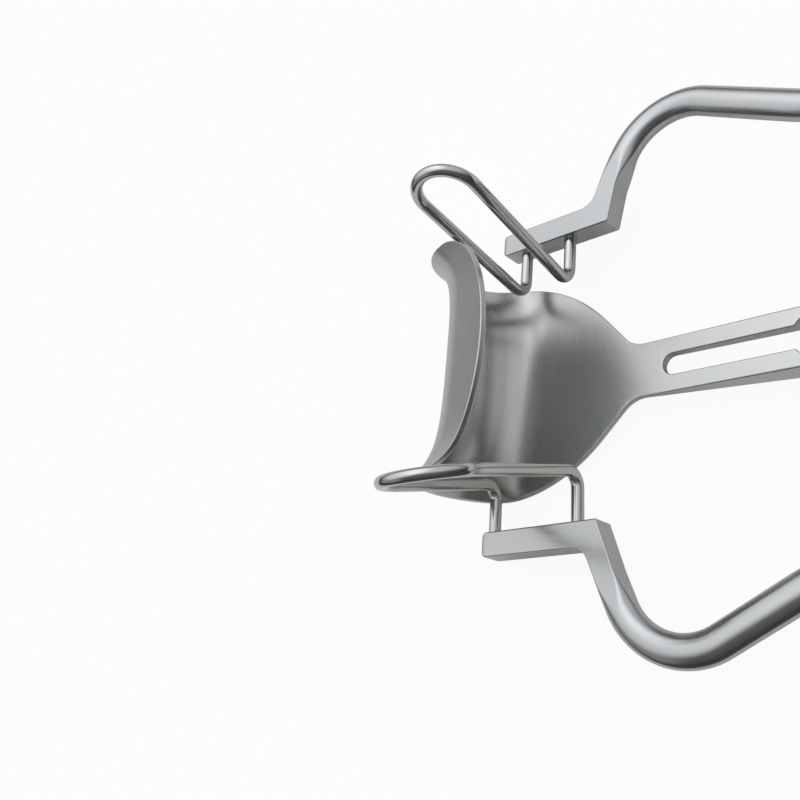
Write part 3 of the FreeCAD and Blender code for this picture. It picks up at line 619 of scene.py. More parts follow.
@dataclass
class Arm:
    """One arm: flat block, narrow root, oval bar with its elbow, and rod boss."""

    side: Side
    leave_angle: float
    elbow_x: float
    elbow_y: float
    elbow_turn: float
    block_inner: float = 50.8
    block_width: float = 8.2
    block_height: float = 8.0
    block_length: float = 43.6
    edge: float = 0.5
    width: float = 9.8
    height: float = 8.2
    root_width: float = 7.0
    inner_radius: float = 6.0
    elbow_radius: float = 21.0
    straight: float = 1.5
    blend: float = 8.2
    rear_radius: float = 45.0
    boss_x: float = 65.0
    boss_size: tuple[float, float, float] = (12.0, 46.0, 11.0)
    boss_corner: float = 4.5
    rod_y: tuple[float, float] = (-140.0, -168.0)
    boss_edge: float = 0.6
    rod_diameter: float = 6.0
    bore_gap: float = 0.1
    socket_gap: float = 0.12
    rear_corner: float = 0.8
    nose_drop: float = 0.7
    fade_past: float = 6.0
    block_rows: tuple[float, ...] = (2.4, 6.0, 12.0, 18.0, 24.0, 30.0)
    fan_start: float = 32.0
    crowding: float = 0.04
    arc_points: int = 9

    def ring(self, rear: Point, front: Point, height: float, corner: tuple[float, float]) -> Row:
        """Rounded rectangle that stands on the line from a rear to a front point.

        Args:
            rear: middle of its rear side.
            front: middle of its front side.
            height: its height.
            corner: half axes of its corners, along the line and upright.

        Returns:
            Its points.
        """
        middle = (rear + front) / 2
        half = (front - rear).length / 2
        out = (front - rear).normalized()
        up = Vector((0.0, 0.0, 1.0))
        wide, tall = min(corner[0], half), min(corner[1], height / 2)
        points = []
        for turn, (a, b) in enumerate(((1, 1), (-1, 1), (-1, -1), (1, -1))):
            centre = middle + out * (a * (half - wide)) + up * (b * (height / 2 - tall))
            for index in range(self.arc_points + 1):
                angle = math.radians(90 * (turn + index / self.arc_points))
                points.append(centre + out * (math.cos(angle) * wide) + up * (math.sin(angle) * tall))
        return points

    def rings(self) -> list[Row]:
        """Rings from the block's front end to the rod boss, in level millimetres."""
        arm = ArmFrame(self.side)
        inner, outer = self.block_inner, self.block_inner + self.block_width
        leave = unit(-self.leave_angle)
        across = Vector((-leave.y, leave.x, 0.0)) * (self.root_width / 2)
        elbow = Vector((self.elbow_x, self.elbow_y, 0.0))
        reach = self.elbow_radius * math.tan(math.radians(self.elbow_turn / 2))
        oval = elbow - leave * (reach + self.straight)
        root = oval - leave * self.blend
        front_end = root + across
        rear_end = root - across
        notch = front_end - leave * ((front_end.x - outer) / leave.x)
        front_rail = rounded_path([Vector((outer, 0, 0)), notch, front_end], [self.inner_radius], 6.0)
        rear_rail = rounded_path(
            [Vector((inner, 0, 0)), Vector((inner, -self.block_length, 0)), rear_end],
            [self.rear_corner], 15.0,
        )
        pairs = [(Vector((inner, -y, 0)), Vector((outer, -y, 0))) for y in self.block_rows]
        fan = front_rail[1:-1]
        rear_fan = rear_rail[1:-1]
        start = Vector((inner, -self.fan_start, 0))
        for index, front in enumerate(fan[:-1]):
            pairs.append((start.lerp(rear_fan[0], index / (len(fan) - 1)), front))
        pairs += [(rear, fan[-1].lerp(front_end, self.crowding * k)) for k, rear in enumerate(rear_fan)]
        tail = fan[-1].lerp(front_end, self.crowding * (len(rear_fan) - 1))
        pairs += [(rear_fan[-1].lerp(rear_end, t), tail.lerp(front_end, t)) for t in (0.3, 0.6, 0.9)]
        sharp = (self.edge, self.edge)
        rings = []
        for inset, shrink in self.nose():
            rear, front = Vector((inner + shrink, -inset, 0)), Vector((outer - shrink, -inset, 0))
            height = self.block_height - self.nose_drop * shrink
            rings.append(self.ring(arm.point(*rear.xy), arm.point(*front.xy), height, sharp))
        for rear, front in pairs:
            rings.append(self.ring(arm.point(*rear.xy), arm.point(*front.xy), self.block_height, sharp))
        return rings + self.bar_rings(arm, root, elbow)

    @staticmethod
    def nose(radius: float = 1.5, count: int = 6) -> list[tuple[float, float]]:
        """Depth and narrowing of the rings that round the block's front end."""
        turns = [math.radians(90 * index / count) for index in range(count + 1)]
        return [(radius * (1 - math.sin(turn)), radius * (1 - math.cos(turn))) for turn in reversed(turns)]

    def bar_rings(self, arm: ArmFrame, root: Point, elbow: Point) -> list[Row]:
        """Rings of the bar, which turns from flat to oval on its way to the elbow."""
        corner = arm.point(*elbow.xy)
        slope = unit(-self.leave_angle - self.elbow_turn)
        down = (arm.point(*(elbow + slope).xy) - corner).normalized()
        boss_x = self.side.value * self.boss_x
        bend = corner + down * ((boss_x - corner.x) / down.x)
        boss_y = (self.rod_y[0] + self.rod_y[1]) / 2
        path = rounded_path(
            [arm.point(*root.xy), corner, bend, Vector((boss_x, boss_y, 0))],
            [self.elbow_radius, self.rear_radius], 3.0,
        )
        path[1:1] = [path[0].lerp(path[1], share / 8) for share in range(1, 8)]
        rings = []
        run = 0.0
        fade = self.blend + self.fade_past
        for index, point in enumerate(path):
            if index:
                run += (point - path[index - 1]).length
            before = path[max(index - 1, 0)]
            after = path[min(index + 1, len(path) - 1)]
            along = (after - before).normalized()
            share = min(run / fade, 1.0)
            share = share * share * (3 - 2 * share)
            half = (self.root_width + (self.width - self.root_width) * share) / 2
            height = self.block_height + (self.height - self.block_height) * share
            corners = (self.edge + (half - self.edge) * share, self.edge + (height / 2 - self.edge) * share)
            across = Vector((-along.y, along.x, 0.0)) * (self.side.value * half)
            rings.append(self.ring(point - across, point + across, height, corners))
        return rings

    def boss(self) -> bpy.types.Object:
        """Rod boss with rounded corners and softened edges."""
        x = self.side.value * self.boss_x
        y = (self.rod_y[0] + self.rod_y[1]) / 2
        return soft_block("boss", Vector((x, y, 0)), self.boss_size, self.boss_corner, self.boss_edge)

    def build(self, name: str, wire: WireBlade) -> bpy.types.Object:
        """Makes the arm as one closed mesh with its bores and sockets.

        Args:
            name: name of the piece.
            wire: the side blade whose legs it holds.

        Returns:
            The arm, in level millimetres.
        """
        arm = ArmFrame(self.side)
        body = skin(name, self.rings())
        combine(body, [self.boss()], Boolean.JOIN)
        reach = Vector((self.boss_size[0], 0, 0))
        bore = self.rod_diameter / 2 + self.bore_gap
        cutters = []
        for y in self.rod_y:
            middle = Vector((self.side.value * self.boss_x, y, 0))
            cutters.append(cylinder("bore", middle - reach, middle + reach, bore))
        for y in (-wire.leg_front, -wire.leg_front - wire.leg_spacing):
            begin, end = arm.point(self.block_inner - 1, y), arm.point(self.block_inner + wire.socket, y)
            cutters.append(cylinder("socket", begin, end, wire.diameter / 2 + self.socket_gap))
        combine(body, cutters, Boolean.CUT)
        return body


def soft_block(
    name: str, centre: Point, size: tuple[float, float, float], corner: float, edge: float,
    corner_steps: int = 8, rim_steps: int = 4,
) -> bpy.types.Object:
    """Block with round upright corners and softened rims.

    Args:
        name: name of the object.
        centre: its middle.
        size: its size along X, Y and Z.
        corner: radius of the upright corners.
        edge: rounding of the rims.
        corner_steps: faces around each corner.
        rim_steps: faces across each rim.

    Returns:
        The block.
    """
    outline: list[tuple[float, float]] = []
    for turn, (a, b) in enumerate(((1, 1), (-1, 1), (-1, -1), (1, -1))):
        for index in range(corner_steps + 1):
            angle = math.radians(90 * (turn + index / corner_steps))
            outline.append((
                a * (size[0] / 2 - corner) + corner * math.cos(angle),
                b * (size[1] / 2 - corner) + corner * math.sin(angle),
            ))
    rings = []
    for side in (-1, 1):
        steps = [math.radians(90 * k / rim_steps) for k in range(rim_steps + 1)]
        if side > 0:
            steps.reverse()
        for step in steps:
            inset = edge * (1 - math.sin(step))
            z = side * (size[2] / 2 - edge * (1 - math.cos(step)))
            ring = []
            for x, y in outline:
                length = math.hypot(x, y)
                ring.append(centre + Vector((x - inset * x / length, y - inset * y / length, z)))
            rings.append(ring)
    return skin(name, rings)


@dataclass
class CenterBlade:
    """Saddle-shaped blade whose flat neck runs into a slotted shank.

    Its upper face is laid out first, in from every edge by the edge's rounding, with the way
    through the sheet kept on each point; thicken() then closes it.
    """

    offset: float = 1.3
    half_width: float = 39.9
    sheet: float = 2.0
    top: float = -6.5
    bend_start: float = 15.4
    bend_radius: float = 17.4
    bend_angle: float = 54.4
    wall: float = 2.4
    fold_radius: float = 20.0
    fold_angle: float = 105.2
    bend_flare: float = 11.2
    bend_power: float = 3.0
    fold_flare: float = 12.2
    fold_power: float = 7.1
    rim_back: float = 24.7
    rim_radius: float = 57.9
    rim_corner: float = 18.3
    neck_back: float = 47.3
    neck_radius: float = 10.0
    shoulder_back: float = 18.9
    shoulder_radius: float = 58.0
    shank_offset: float = -0.4
    shank_width: float = 18.0
    shank_flare: float = 2.2
    shank_end: float = 186.0
    shank_thin: float = 3.0
    shank_thick: float = 4.5
    slot_width: float = 6.9
    slot_start: float = 58.0
    slot_finish: float = 180.0
    hole: float = 13.0
    hole_back: float = 104.0
    edge: float = 0.45
    columns: int = 96
    bend_rows: int = 18
    fold_rows: int = 36
    lip_rows: int = 14
    settle_rounds: int = 4
    mesh_step: float = 3.0
    mesh_gap: float = 1.3
    joint_gap: float = 0.4

    def __post_init__(self) -> None:
        """Prepares the mesh and the outline of the flat part."""
        self.maker = bmesh.new()
        self.through = self.maker.verts.layers.float_vector.new("through")
        self.outline = self.plan_outline()

    def add(self, point: Point, through: Vector) -> bmesh.types.BMVert:
        """Adds one point of the upper face with its way through the sheet."""
        vert = self.maker.verts.new(point)
        vert[self.through] = through
        return vert

    def grid(self, rows: Sequence[Sequence[bmesh.types.BMVert]]) -> None:
        """Faces between rows of equally many points."""
        for low, high in zip(rows, rows[1:]):
            for index in range(len(low) - 1):
                self.maker.faces.new((low[index], low[index + 1], high[index + 1], high[index]))

    # Curved part

    def section(self, x: float) -> list[tuple[Point, Vector]]:
        """Upper face in one plane across the blade, from the bend's start to the fold's end.

        Args:
            x: distance from the blade's middle plane.

        Returns:
            Points and their unit normals towards the outer face.
        """
        bend = math.radians(self.bend_angle)
        lip_turn = bend + math.radians(self.fold_angle)
        bend_reach = self.bend_radius * math.tan(bend / 2)
        fold_reach = self.fold_radius * math.tan(math.radians(self.fold_angle) / 2)
        wall = bend_reach + self.wall + fold_reach
        share = min(abs(x) / self.half_width, 1.0)
        foot = Vector((x, bend_reach - self.bend_start, self.top))
        fold = foot + Vector((0, math.cos(bend), math.sin(bend))) * wall
        foot.y += self.bend_flare * share ** self.bend_power
        fold.y += self.fold_flare * share ** self.fold_power
        rise = (fold - foot).normalized()
        turn = math.atan2(rise.z, rise.y)
        start = foot - Vector((0, self.bend_radius * math.tan(turn / 2), 0))
        second = fold - rise * (self.fold_radius * math.tan((lip_turn - turn) / 2))
        bend_turns = [turn * k / self.bend_rows for k in range(self.bend_rows + 1)]
        fold_turns = [turn + (lip_turn - turn) * k / self.fold_rows for k in range(self.fold_rows + 1)]
        found = []
        for begin, turns, radius in (
            (start, bend_turns, self.bend_radius),
            (second, fold_turns, self.fold_radius),
        ):
            first = Vector((0, math.sin(turns[0]), -math.cos(turns[0])))
            for angle in turns:
                normal = Vector((0, math.sin(angle), -math.cos(angle)))
                found.append((begin + (normal - first) * radius, normal))
        return found

    def width_at(self, side: int, y: float) -> float:
        """Distance of the inset outline from the blade's middle plane on one side."""
        row = self.outline if side > 0 else self.outline[::-1]
        for before, after in zip(row, row[1:]):
            if before.y >= y > after.y:
                share = (before.y - y) / (before.y - after.y)
                return side * (before.x + (after.x - before.x) * share - self.offset)
        return self.half_width - self.edge

    def curved_rows(self) -> list[list[bmesh.types.BMVert]]:
        """Rows of points along the bend, the wall and the fold, front edge of the plate first.

        A point's width depends on how far back it lies, and that on its width, so both are
        found together in a few rounds.
        """
        rows = self.bend_rows + self.fold_rows + 2
        lines = []
        for column in range(self.columns + 1):
            share = 2 * column / self.columns - 1
            side = 1 if share > 0 else -1
            x = share * (self.half_width - self.edge)
            line = []
            for row in range(rows):
                for _ in range(self.settle_rounds):
                    point, normal = self.section(x)[row]
                    if point.z > self.top + self.bend_radius / 2:
                        x = share * (self.half_width - self.edge)
                    else:
                        x = share * self.width_at(side, point.y)
                point = Vector((x + self.offset, point.y, point.z))
                line.append(self.add(point, normal * self.sheet))
            lines.append(line)
        return [list(row) for row in zip(*lines)]

    # Lip

    def rim_curves(self) -> tuple[Row, Row]:
        """Right side and top side of the lip in plan, inset from its edge.

        Returns:
            Points down the right side to the middle of the rim's corner, and points from
            there along the rim to its middle.
        """
        half = self.half_width - self.edge
        radius = self.rim_radius - self.edge
        corner = self.rim_corner - self.edge
        centre_y = self.rim_radius - self.rim_back
        corner_x = half - corner
        corner_y = centre_y - math.sqrt((radius - corner) ** 2 - corner_x ** 2)
        end = math.atan2(corner_y - centre_y, corner_x)
        middle = Vector((corner_x, corner_y, 0))
        fold_end = self.section(half)[-1][0]
        side = [Vector((half, fold_end.y + (corner_y - fold_end.y) * k / 4, 0)) for k in range(5)]
        bow = [middle + unit(math.degrees(end) * k / 16) * corner for k in range(17)]
        side += bow[1:9]
        rim = bow[8:]
        for k in range(1, 41):
            angle = end + (-math.pi / 2 - end) * k / 40
            rim.append(Vector((radius * math.cos(angle), centre_y + radius * math.sin(angle), 0)))
        return side, rim

    def lip(self, fold_row: Sequence[bmesh.types.BMVert]) -> list[list[bmesh.types.BMVert]]:
        """Rows of points from the fold's end to the rim, which bend around its round corners."""
        side, rim = self.rim_curves()
        whole = rim + [Vector((-point.x, point.y, 0)) for point in reversed(rim[:-1])]
        right = resample(side, self.lip_rows)
        far = resample(whole[::-1], self.columns)
        near = [Vector((vert.co.x - self.offset, vert.co.y, 0)) for vert in fold_row]
        left = [Vector((-point.x, point.y, 0)) for point in right]
        rows = [list(fold_row)]
        for row in range(1, self.lip_rows + 1):
            t = row / self.lip_rows
            line = []
            for column in range(self.columns + 1):
                u = column / self.columns
                flat = near[column] * (1 - t) + far[column] * t + left[row] * (1 - u) + right[row] * u
                flat -= (near[0] * (1 - u) + near[-1] * u) * (1 - t) + (far[0] * (1 - u) + far[-1] * u) * t
                end, normal = self.section(flat.x)[-1]
                rise = -normal.y / normal.z
                point = Vector((flat.x + self.offset, flat.y, end.z + (flat.y - end.y) * rise))
                line.append(self.add(point, normal * self.sheet))
            rows.append(line)
        return rows

    # Plate and shank

    def plan_outline(self) -> Row:
        """Outline of plate and shank in plan, inset from their edge, right shoulder first."""
        neck = self.shank_width / 2
        right, left = self.offset + self.half_width, self.offset - self.half_width
        points = [
            Vector((right, 30.0, 0)),
            Vector((right, -self.shoulder_back, 0)),
            Vector((self.shank_offset + neck, -self.neck_back, 0)),
            Vector((self.shank_offset + neck, -self.shank_end, 0)),
            Vector((self.shank_offset - neck, -self.shank_end, 0)),
            Vector((self.shank_offset - neck, -self.neck_back, 0)),
            Vector((left, -self.shoulder_back, 0)),
            Vector((left, 30.0, 0)),
        ]
        rear = self.shank_width / 3
        radii = [self.shoulder_radius, self.neck_radius, rear, rear, self.neck_radius, self.shoulder_radius]
        row = rounded_path(points, radii, 1.5)
        inset = []
        for index, point in enumerate(row):
            along = (row[min(index + 1, len(row) - 1)] - row[max(index - 1, 0)]).normalized()
            inset.append(point + Vector((along.y, -along.x, 0)) * self.edge)
        return inset

    def slot_outline(self) -> Row:
        """Outline of the slot with its round entry, set back from their edge."""
        half = self.slot_width / 2 + self.edge
        radius = self.hole / 2 + self.edge
        front = -self.slot_start - self.slot_width / 2
        rear = -self.slot_finish + self.slot_width / 2
        entry = math.degrees(math.asin(half / radius))
        x = self.shank_offset
        row = [Vector((x, front, 0)) + unit(180 - 9 * k) * half for k in range(21)]
        row += [Vector((x, -self.hole_back, 0)) + unit(90 - entry - k * (180 - 2 * entry) / 24) * radius
                for k in range(25)]
        row += [Vector((x, rear, 0)) + unit(-9 * k) * half for k in range(21)]
        row += [Vector((x, -self.hole_back, 0)) + unit(270 - entry - k * (180 - 2 * entry) / 24) * radius
                for k in range(25)]
        return row + row[:1]

    def shank_through(self, x: float, y: float) -> Vector:
        """Way through plate and shank at a point, wider and thicker towards the clamp."""
        if y > -self.neck_back - self.neck_radius / 2:
            return Vector((0, 0, -self.sheet))
        marks = (
            (-self.neck_back - self.neck_radius / 2, self.sheet, 0.0),
            (-self.slot_start, self.shank_thin, 0.0),
            (-self.hole_back, self.shank_thick, self.shank_flare),
            (-self.shank_end - 1.0, self.shank_thick, self.shank_flare),
        )
        for (y0, thick0, flare0), (y1, thick1, flare1) in zip(marks, marks[1:]):
            if y0 >= y >= y1:
                share = (y0 - y) / (y0 - y1)
                thick = thick0 + (thick1 - thick0) * share
                flare = flare0 + (flare1 - flare0) * share
                break
        free = self.slot_width / 2 + self.edge
        away = x - self.shank_offset
        side = max(abs(away) - free - 1.0, 0.0) / (self.shank_width / 2 - self.edge - free - 1.0)
        return Vector((math.copysign(flare * min(side, 1.0), away), 0, -thick))

    def plate(self, front_row: Sequence[bmesh.types.BMVert]) -> None:
        """Flat part, triangulated between its outline, the bend's start and the slot."""
        front = [vert.co.copy() for vert in front_row][::-1]
        near, far = front[0], front[-1]
        middle, step = self.shank_offset, self.mesh_step
        right = [point for point in self.outline if point.x > middle and point.y < near.y - self.joint_gap]
        left = [point for point in self.outline if point.x <= middle and point.y < far.y - self.joint_gap]
        loop = spaced(front[-1:] + front[::-1][1:] + right + left + [far], step)[:-1]
        slot = spaced(self.slot_outline(), step)[:-1]
        inner = []
        across, along = math.ceil(self.half_width / step), int(self.shank_end / step)
        for i in range(-across, across + 1):
            for j in range(along):
                point = Vector((i * step + middle, -j * step, 0))
                free = inside(loop, point) and not inside(slot, point)
                if free and clear(loop + slot, point, self.mesh_gap):
                    inner.append(point)
        points = [point.xy for point in loop + slot + inner]
        count, total = len(loop), len(loop) + len(slot)
        edges = [(k, (k + 1) % count) for k in range(count)]
        edges += [(k, k + 1 if k + 1 < total else count) for k in range(count, total)]
        found, _, faces, *_ = delaunay_2d_cdt(points, edges, [], 1, 1e-5)
        verts = [self.add(Vector((p.x, p.y, self.top)), self.shank_through(p.x, p.y)) for p in found]
        for face in faces:
            centre = sum((found[k] for k in face), Vector((0.0, 0.0))) / len(face)
            if not inside(slot, centre):
                self.maker.faces.new([verts[k] for k in face])

    def build(self, name: str) -> bpy.types.Object:
        """Makes the blade as one closed mesh with round edges, in level millimetres."""
        rows = self.curved_rows()
        self.grid(rows)
        self.grid(self.lip(rows[-1]))
        self.plate(rows[0])
        loose = [vert for vert in self.maker.verts if not vert.link_faces]
        bmesh.ops.delete(self.maker, geom=loose, context="VERTS")
        bmesh.ops.remove_doubles(self.maker, verts=self.maker.verts[:], dist=0.01)
        thicken(self.maker, self.through, self.edge)
        return mesh_object(name, self.maker)


def resample(row: Sequence[Point], count: int) -> Row:
    """Points at equal distances along a polyline.

    Args:
        row: the polyline.
        count: number of stretches.

    Returns:
        count + 1 points.
    """
    runs = [0.0]
    for before, after in zip(row, row[1:]):
        runs.append(runs[-1] + (after - before).length)
    found = []
    index = 0
    for step in range(count + 1):
        goal = runs[-1] * step / count
        while index < len(runs) - 2 and runs[index + 1] < goal:
            index += 1
        share = (goal - runs[index]) / max(runs[index + 1] - runs[index], 1e-9)
        found.append(row[index].lerp(row[index + 1], min(share, 1.0)))
    return found


def spaced(row: Sequence[Point], gap: float) -> Row:
    """Polyline with more points where its stretches are longer than the gap."""
    found = [row[0].copy()]
    for before, after in zip(row, row[1:]):
        count = max(1, math.ceil((after - before).length / gap))
        found += [before.lerp(after, k / count) for k in range(1, count + 1)]
    return found


def inside(loop: Sequence[Point], point: Point) -> bool:
    """Whether a plan point lies inside a closed loop."""
    found = False
    for a, b in zip(loop, list(loop[1:]) + [loop[0]]):
        if (a.y > point.y) != (b.y > point.y):
            if point.x < (b.x - a.x) * (point.y - a.y) / (b.y - a.y) + a.x:
                found = not found
    return found


def clear(row: Sequence[Point], point: Point, gap: float) -> bool:
    """Whether a plan point stays away from every point of a row."""
    return all((other.xy - point.xy).length > gap for other in row)


def thicken(maker: bmesh.types.BMesh, through: Any, edge: float, segments: int = 4) -> None:
    """Closes an open face along the way kept on its points, with rounded edges.

    Args:
        maker: mesh of the open face, inset from the final edge.
        through: layer with each point's way to the other face.
        edge: radius of the edges.
        segments: faces across each rounding.
    """
    maker.normal_update()
    maker.verts.ensure_lookup_table()
    upper = list(maker.verts)
    faces = list(maker.faces)
    border = [e for e in maker.edges if e.is_boundary]
    lower = {vert: maker.verts.new(vert.co + vert[through]) for vert in upper}
    neighbours: dict[Any, list[Any]] = {}
    for line in border:
        a, b = line.verts
        neighbours.setdefault(a, []).append(b)
        neighbours.setdefault(b, []).append(a)
    rings: dict[Any, list[Any]] = {}
    for vert, (before, after) in neighbours.items():
        along = (after.co - before.co).normalized()
        out = along.cross(vert.normal).normalized()
        around = [face.calc_center_median() for face in vert.link_faces]
        centre = sum(around, Vector()) / len(around)
        if out.dot(vert.co - centre) < 0:
            out = -out
        way = vert[through]
        down = way.normalized()
        column = [vert]
        turns = [math.radians(90 * k / segments) for k in range(1, segments + 1)]
        for turn in turns:
            point = vert.co + out * (edge * math.sin(turn)) + down * (edge * (1 - math.cos(turn)))
            column.append(maker.verts.new(point))
        for turn in reversed(turns):
            point = vert.co + way + out * (edge * math.sin(turn)) - down * (edge * (1 - math.cos(turn)))
            column.append(maker.verts.new(point))
        column.append(lower[vert])
        rings[vert] = column
    for face in faces:
        maker.faces.new([lower[vert] for vert in reversed(face.verts)])
    for line in border:
        a, b = (rings[vert] for vert in line.verts)
        for k in range(len(a) - 1):
            maker.faces.new((a[k], a[k + 1], b[k + 1], b[k]))


@dataclass(frozen=True)
class SmallPiece:
    """Rod, screw or clamp piece that keeps the form of its CAD node and gets round edges."""

    node: str
    name: str
    body: str
    edge: float

    def build(self, source: bpy.types.Object) -> bpy.types.Object:
        """Makes the piece from its CAD node, in metres.

        Args:
            source: the CAD node's object.

        Returns:
            The piece.
        """
        piece = merged_copy(source, self.name)
        soft_edges(piece, self.edge * MM)
        flat_faces(piece)
        return piece


SMALL_PIECES = (
    SmallPiece("front_rod", "front_ground_rod", "frame", 0.3),
    SmallPiece("rear_rod", "rear_ground_rod", "frame", 0.3),
    SmallPiece("rod_end_bar", "end_bar", "frame", 0.3),
    SmallPiece("end_bar_screws", "slotted_screws", "frame", 0.15),
    SmallPiece("carriage", "sliding_carriage", "carriage", 0.4),
    SmallPiece("clamp_stud", "headed_stud", "carriage", 0.2),
    SmallPiece("stud_stop_ring", "stop_ring", "carriage", 0.15),
    SmallPiece("pressure_washer", "flat_washer", "washer", 0.2),
    SmallPiece("wing_nut", "winged_nut", "wing_nut", 0.35),
)


# Studio


@dataclass(frozen=True)
class SoftLight:
    """Round soft light of the room: its direction, the cosines at its rims and its strength."""

    direction: tuple[float, float, float]
    inner: float
    outer: float
    strength: float


@dataclass
class Studio:
    """Pale floor and soft room, which the camera sees white.

    The metal reflects the floor as it is lit, with a painted shade beside the sliding arm, from
    shade_from to shade_to in millimetres, where the floor is dark to every ray but the camera's
    and so paints a dark reflection into the metal.  The room is dim at its sides.  The rise of the
    """

    paper: str = "#F4F4F4"
    # Painted shade of the floor beside the sliding arm, seen only in the metal's reflections.
    shade: str = "#5C5C5C"
    air: str = "#FBFCFF"
    glow: float = 0.93
    shade_from: float = -82.0
    shade_to: float = -72.0
    floor_size: float = 6.0
    floor_gap: float = 0.1
    low: tuple[float, float] = (-0.1, 0.04)
    high: tuple[float, float] = (1.0, 0.22)
    lights: tuple[SoftLight, ...] = (
        SoftLight((0.30, 0.50, 0.81), 0.95, 0.55, 0.90),
        SoftLight((-0.50, 0.82, 0.25), 0.98, 0.84, 0.25),
        SoftLight((0.55, -0.30, 0.78), 0.95, 0.40, 0.62),
    )

    def build_floor(self) -> None:
        """Makes the floor, which keeps a soft shadow and has a painted shade that only reflections see."""
        maker = bmesh.new()
        bmesh.ops.create_grid(maker, x_segments=1, y_segments=1, size=self.floor_size)
        floor = mesh_object("floor", maker)
        floor.data.transform(Matrix.Translation((0, 0, -self.floor_gap * MM)))
        material = bpy.data.materials.new("matt_white_paper")
        material.use_nodes = True
        tree = material.node_tree
        tree.nodes.clear()
        paths = add_node(tree, "ShaderNodeLightPath")
        paper = add_node(tree, "ShaderNodeBsdfDiffuse", values={"Color": linear(self.paper)})
        glow = add_node(tree, "ShaderNodeEmission", values={"Color": WHITE, "Strength": 1.0})
        lit = add_node(
            tree, "ShaderNodeMixShader", {1: paper.outputs["BSDF"], 2: glow.outputs["Emission"]},
            {"Fac": self.glow},
        )
        # Painted shade: the floor's tone turns dark beside the sliding arm for every ray but the camera's,
        # to paint a dark reflection into the metal.
        coords = add_node(tree, "ShaderNodeTexCoord")
        across = add_node(tree, "ShaderNodeSeparateXYZ", {"Vector": coords.outputs["Object"]})
        share = add_node(
            tree, "ShaderNodeMapRange", {"Value": across.outputs["X"]},
            {"From Min": self.shade_from * MM, "From Max": self.shade_to * MM},
        )
        tone = add_node(
            tree, "ShaderNodeMixRGB", {"Fac": share.outputs["Result"]},
            {"Color1": linear(self.shade), "Color2": linear(self.paper)},
        )
        shaded = add_node(tree, "ShaderNodeBsdfDiffuse", {"Color": tone.outputs["Color"]})
        seen = add_node(
            tree, "ShaderNodeMixShader",
            {"Fac": paths.outputs["Is Camera Ray"], 1: shaded.outputs["BSDF"], 2: lit.outputs["Shader"]},
        )
        add_node(tree, "ShaderNodeOutputMaterial", {"Surface": seen.outputs["Shader"]})
        floor.data.materials.append(material)

    def build_room(self) -> None:
        """Makes the world: brighter overhead than at its sides, with round soft lights."""
        world = bpy.data.worlds.new("studio")
        bpy.context.scene.world = world
        world.use_nodes = True
        tree = world.node_tree
        tree.nodes.clear()
        paths = add_node(tree, "ShaderNodeLightPath")
        coords = add_node(tree, "ShaderNodeTexCoord")
        height = add_node(tree, "ShaderNodeSeparateXYZ", {"Vector": coords.outputs["Generated"]})
        total = add_node(
            tree, "ShaderNodeMapRange", {"Value": height.outputs["Z"]},
            {"From Min": self.low[0], "From Max": self.high[0],
             "To Min": self.low[1], "To Max": self.high[1]},
        ).outputs["Result"]
        for light in self.lights:
            dot = add_node(
                tree, "ShaderNodeVectorMath", {0: coords.outputs["Generated"]},
                {1: Vector(light.direction).normalized()}, operation="DOT_PRODUCT",
            )
            share = add_node(
                tree, "ShaderNodeMapRange", {"Value": dot.outputs["Value"]},
                {"From Min": light.outer, "From Max": light.inner, "To Min": 0.0, "To Max": light.strength},
                interpolation_type="SMOOTHSTEP",
            )
            total = add_node(
                tree, "ShaderNodeMath", {0: total, 1: share.outputs["Result"]}, operation="ADD"
            ).outputs["Value"]
        room = add_node(tree, "ShaderNodeBackground", {"Strength": total}, {"Color": linear(self.air)})
        white = add_node(tree, "ShaderNodeBackground", values={"Color": WHITE, "Strength": 1.0})
        seen = add_node(
            tree, "ShaderNodeMixShader",
            {"Fac": paths.outputs["Is Camera Ray"], 1: room.outputs["Background"],
             2: white.outputs["Background"]},
        )
        add_node(tree, "ShaderNodeOutputWorld", {"Surface": seen.outputs["Shader"]})


@dataclass
class ViewCamera:
    """Camera at the angle and distance from which the retractor is seen.

    Its place is in millimetres in the level frame, as are the directions of its axes.
    """

    place: tuple[float, float, float] = (-109.45, -189.15, 227.13)
    right: tuple[float, float, float] = (0.0953, -0.7076, -0.7000)
    forward: tuple[float, float, float] = (0.3316, 0.6857, -0.6480)
    lens: float = 40.43
    sensor: float = 36.0
    shift_y: float = -0.0033
    clip_start: float = 0.01

    def build(self, level: LevelFrame) -> None:
        """Makes the camera and gives it to the scene.

        Args:
            level: the level frame.
        """
        forward = Vector(self.forward).normalized()
        up = Vector(self.right).cross(forward).normalized()
        right = forward.cross(up).normalized()
        data = bpy.data.cameras.new("camera")
        data.sensor_width = self.sensor
        data.lens = self.lens
        data.shift_y = self.shift_y
        data.clip_start = self.clip_start
        camera = bpy.data.objects.new("camera", data)
        bpy.context.scene.collection.objects.link(camera)
        axes = Matrix((right, up, -forward)).transposed().to_4x4()
        place = level.matrix @ Vector(self.place)
        camera.matrix_world = Matrix.Translation(place) @ level.turn @ axes
        bpy.context.scene.camera = camera


# Assembly


def paint(obj: bpy.types.Object, finish: bpy.types.Material) -> None:
    """Gives an object one finish all over."""
    obj.data.materials.clear()
    obj.data.materials.append(finish)


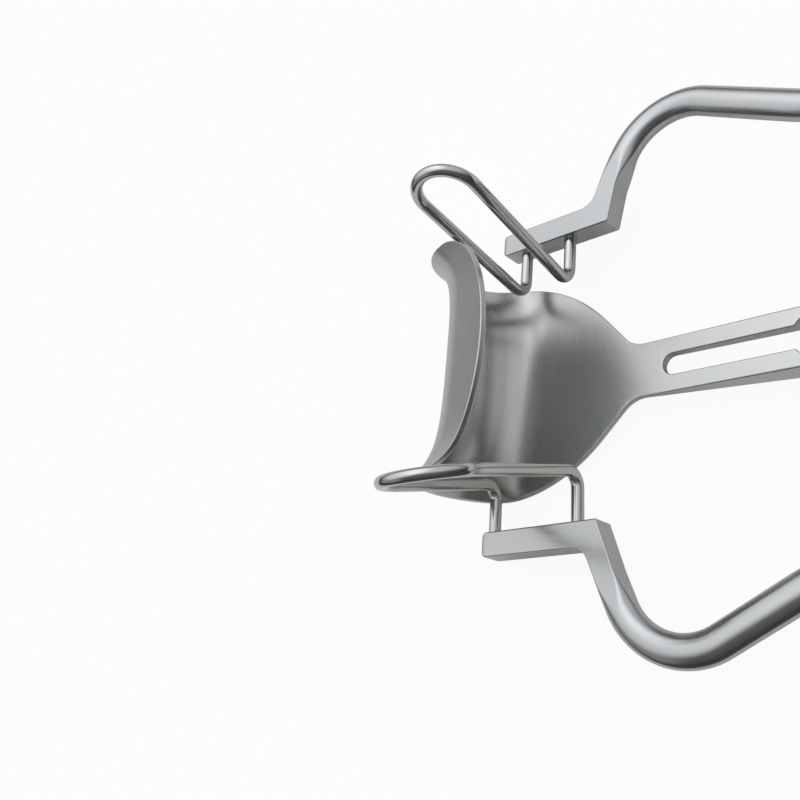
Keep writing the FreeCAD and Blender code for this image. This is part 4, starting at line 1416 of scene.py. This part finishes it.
def attach(piece: bpy.types.Object, body: str, node: str) -> None:
    """Lets a piece ride on its body in place of a CAD node, and reports it.

    Args:
        piece: the piece.
        body: body that it rides on.
        node: CAD node that it stands for.
    """
    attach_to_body(piece, body)
    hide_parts(node)
    LOG.info("%s: %d faces", piece.name, len(piece.data.polygons))


def main() -> None:
    """Builds the retractor, its finishes, the studio and the camera."""
    logging.basicConfig(level=logging.INFO, format="%(message)s")
    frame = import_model()
    level = LevelFrame(frame["record"])
    finishes = {slot: finish.build(level) for slot, finish in FINISHES.items()}
    slots = {part["node"]: part["material_slot"] for part in frame["record"]["subparts"]}
    for node, obj in frame["nodes"].items():
        paint(obj, finishes[slots[node]])
    bodies = {Side.FIXED: "frame", Side.SLIDING: "sliding_arm"}
    wires = {
        Side.FIXED: WireBlade(Side.FIXED, leg_front=8.1, leg_spacing=18.4, splay=1.42, rake=1.42),
        Side.SLIDING: WireBlade(Side.SLIDING, leg_front=2.3, leg_spacing=32.3, splay=0.05, rake=0.83),
    }
    arms = {
        Side.FIXED: Arm(Side.FIXED, leave_angle=21.1, elbow_x=96.7, elbow_y=-55.2, elbow_turn=97.1),
        Side.SLIDING: Arm(Side.SLIDING, leave_angle=22.4, elbow_x=97.6, elbow_y=-58.3, elbow_turn=96.2),
    }
    for side, wire in wires.items():
        word = side.name.lower()
        bent = wire.build(f"{word}_bent_wire", finishes["wire_steel"])
        level.place(bent)
        attach(bent, bodies[side], f"{word}_wire_blade")
        arm = arms[side].build(f"{word}_ground_arm", wire)
        paint(arm, finishes["satin_steel"])
        level.place(arm)
        attach(arm, bodies[side], f"{word}_arm")
        flat_faces(arm)
    for small in SMALL_PIECES:
        piece = small.build(frame["nodes"][small.node])
        paint(piece, finishes[slots[small.node]])
        attach(piece, small.body, small.node)
    blade = CenterBlade().build("saddle_blade")
    paint(blade, finishes["blade_steel"])
    level.place(blade)
    attach(blade, "center_blade", "center_blade")
    flat_faces(blade)
    studio = Studio()
    studio.build_floor()
    studio.build_room()
    ViewCamera().build(level)
    bpy.context.scene.view_settings.view_transform = "Standard"


if __name__ == "__main__":
    main()
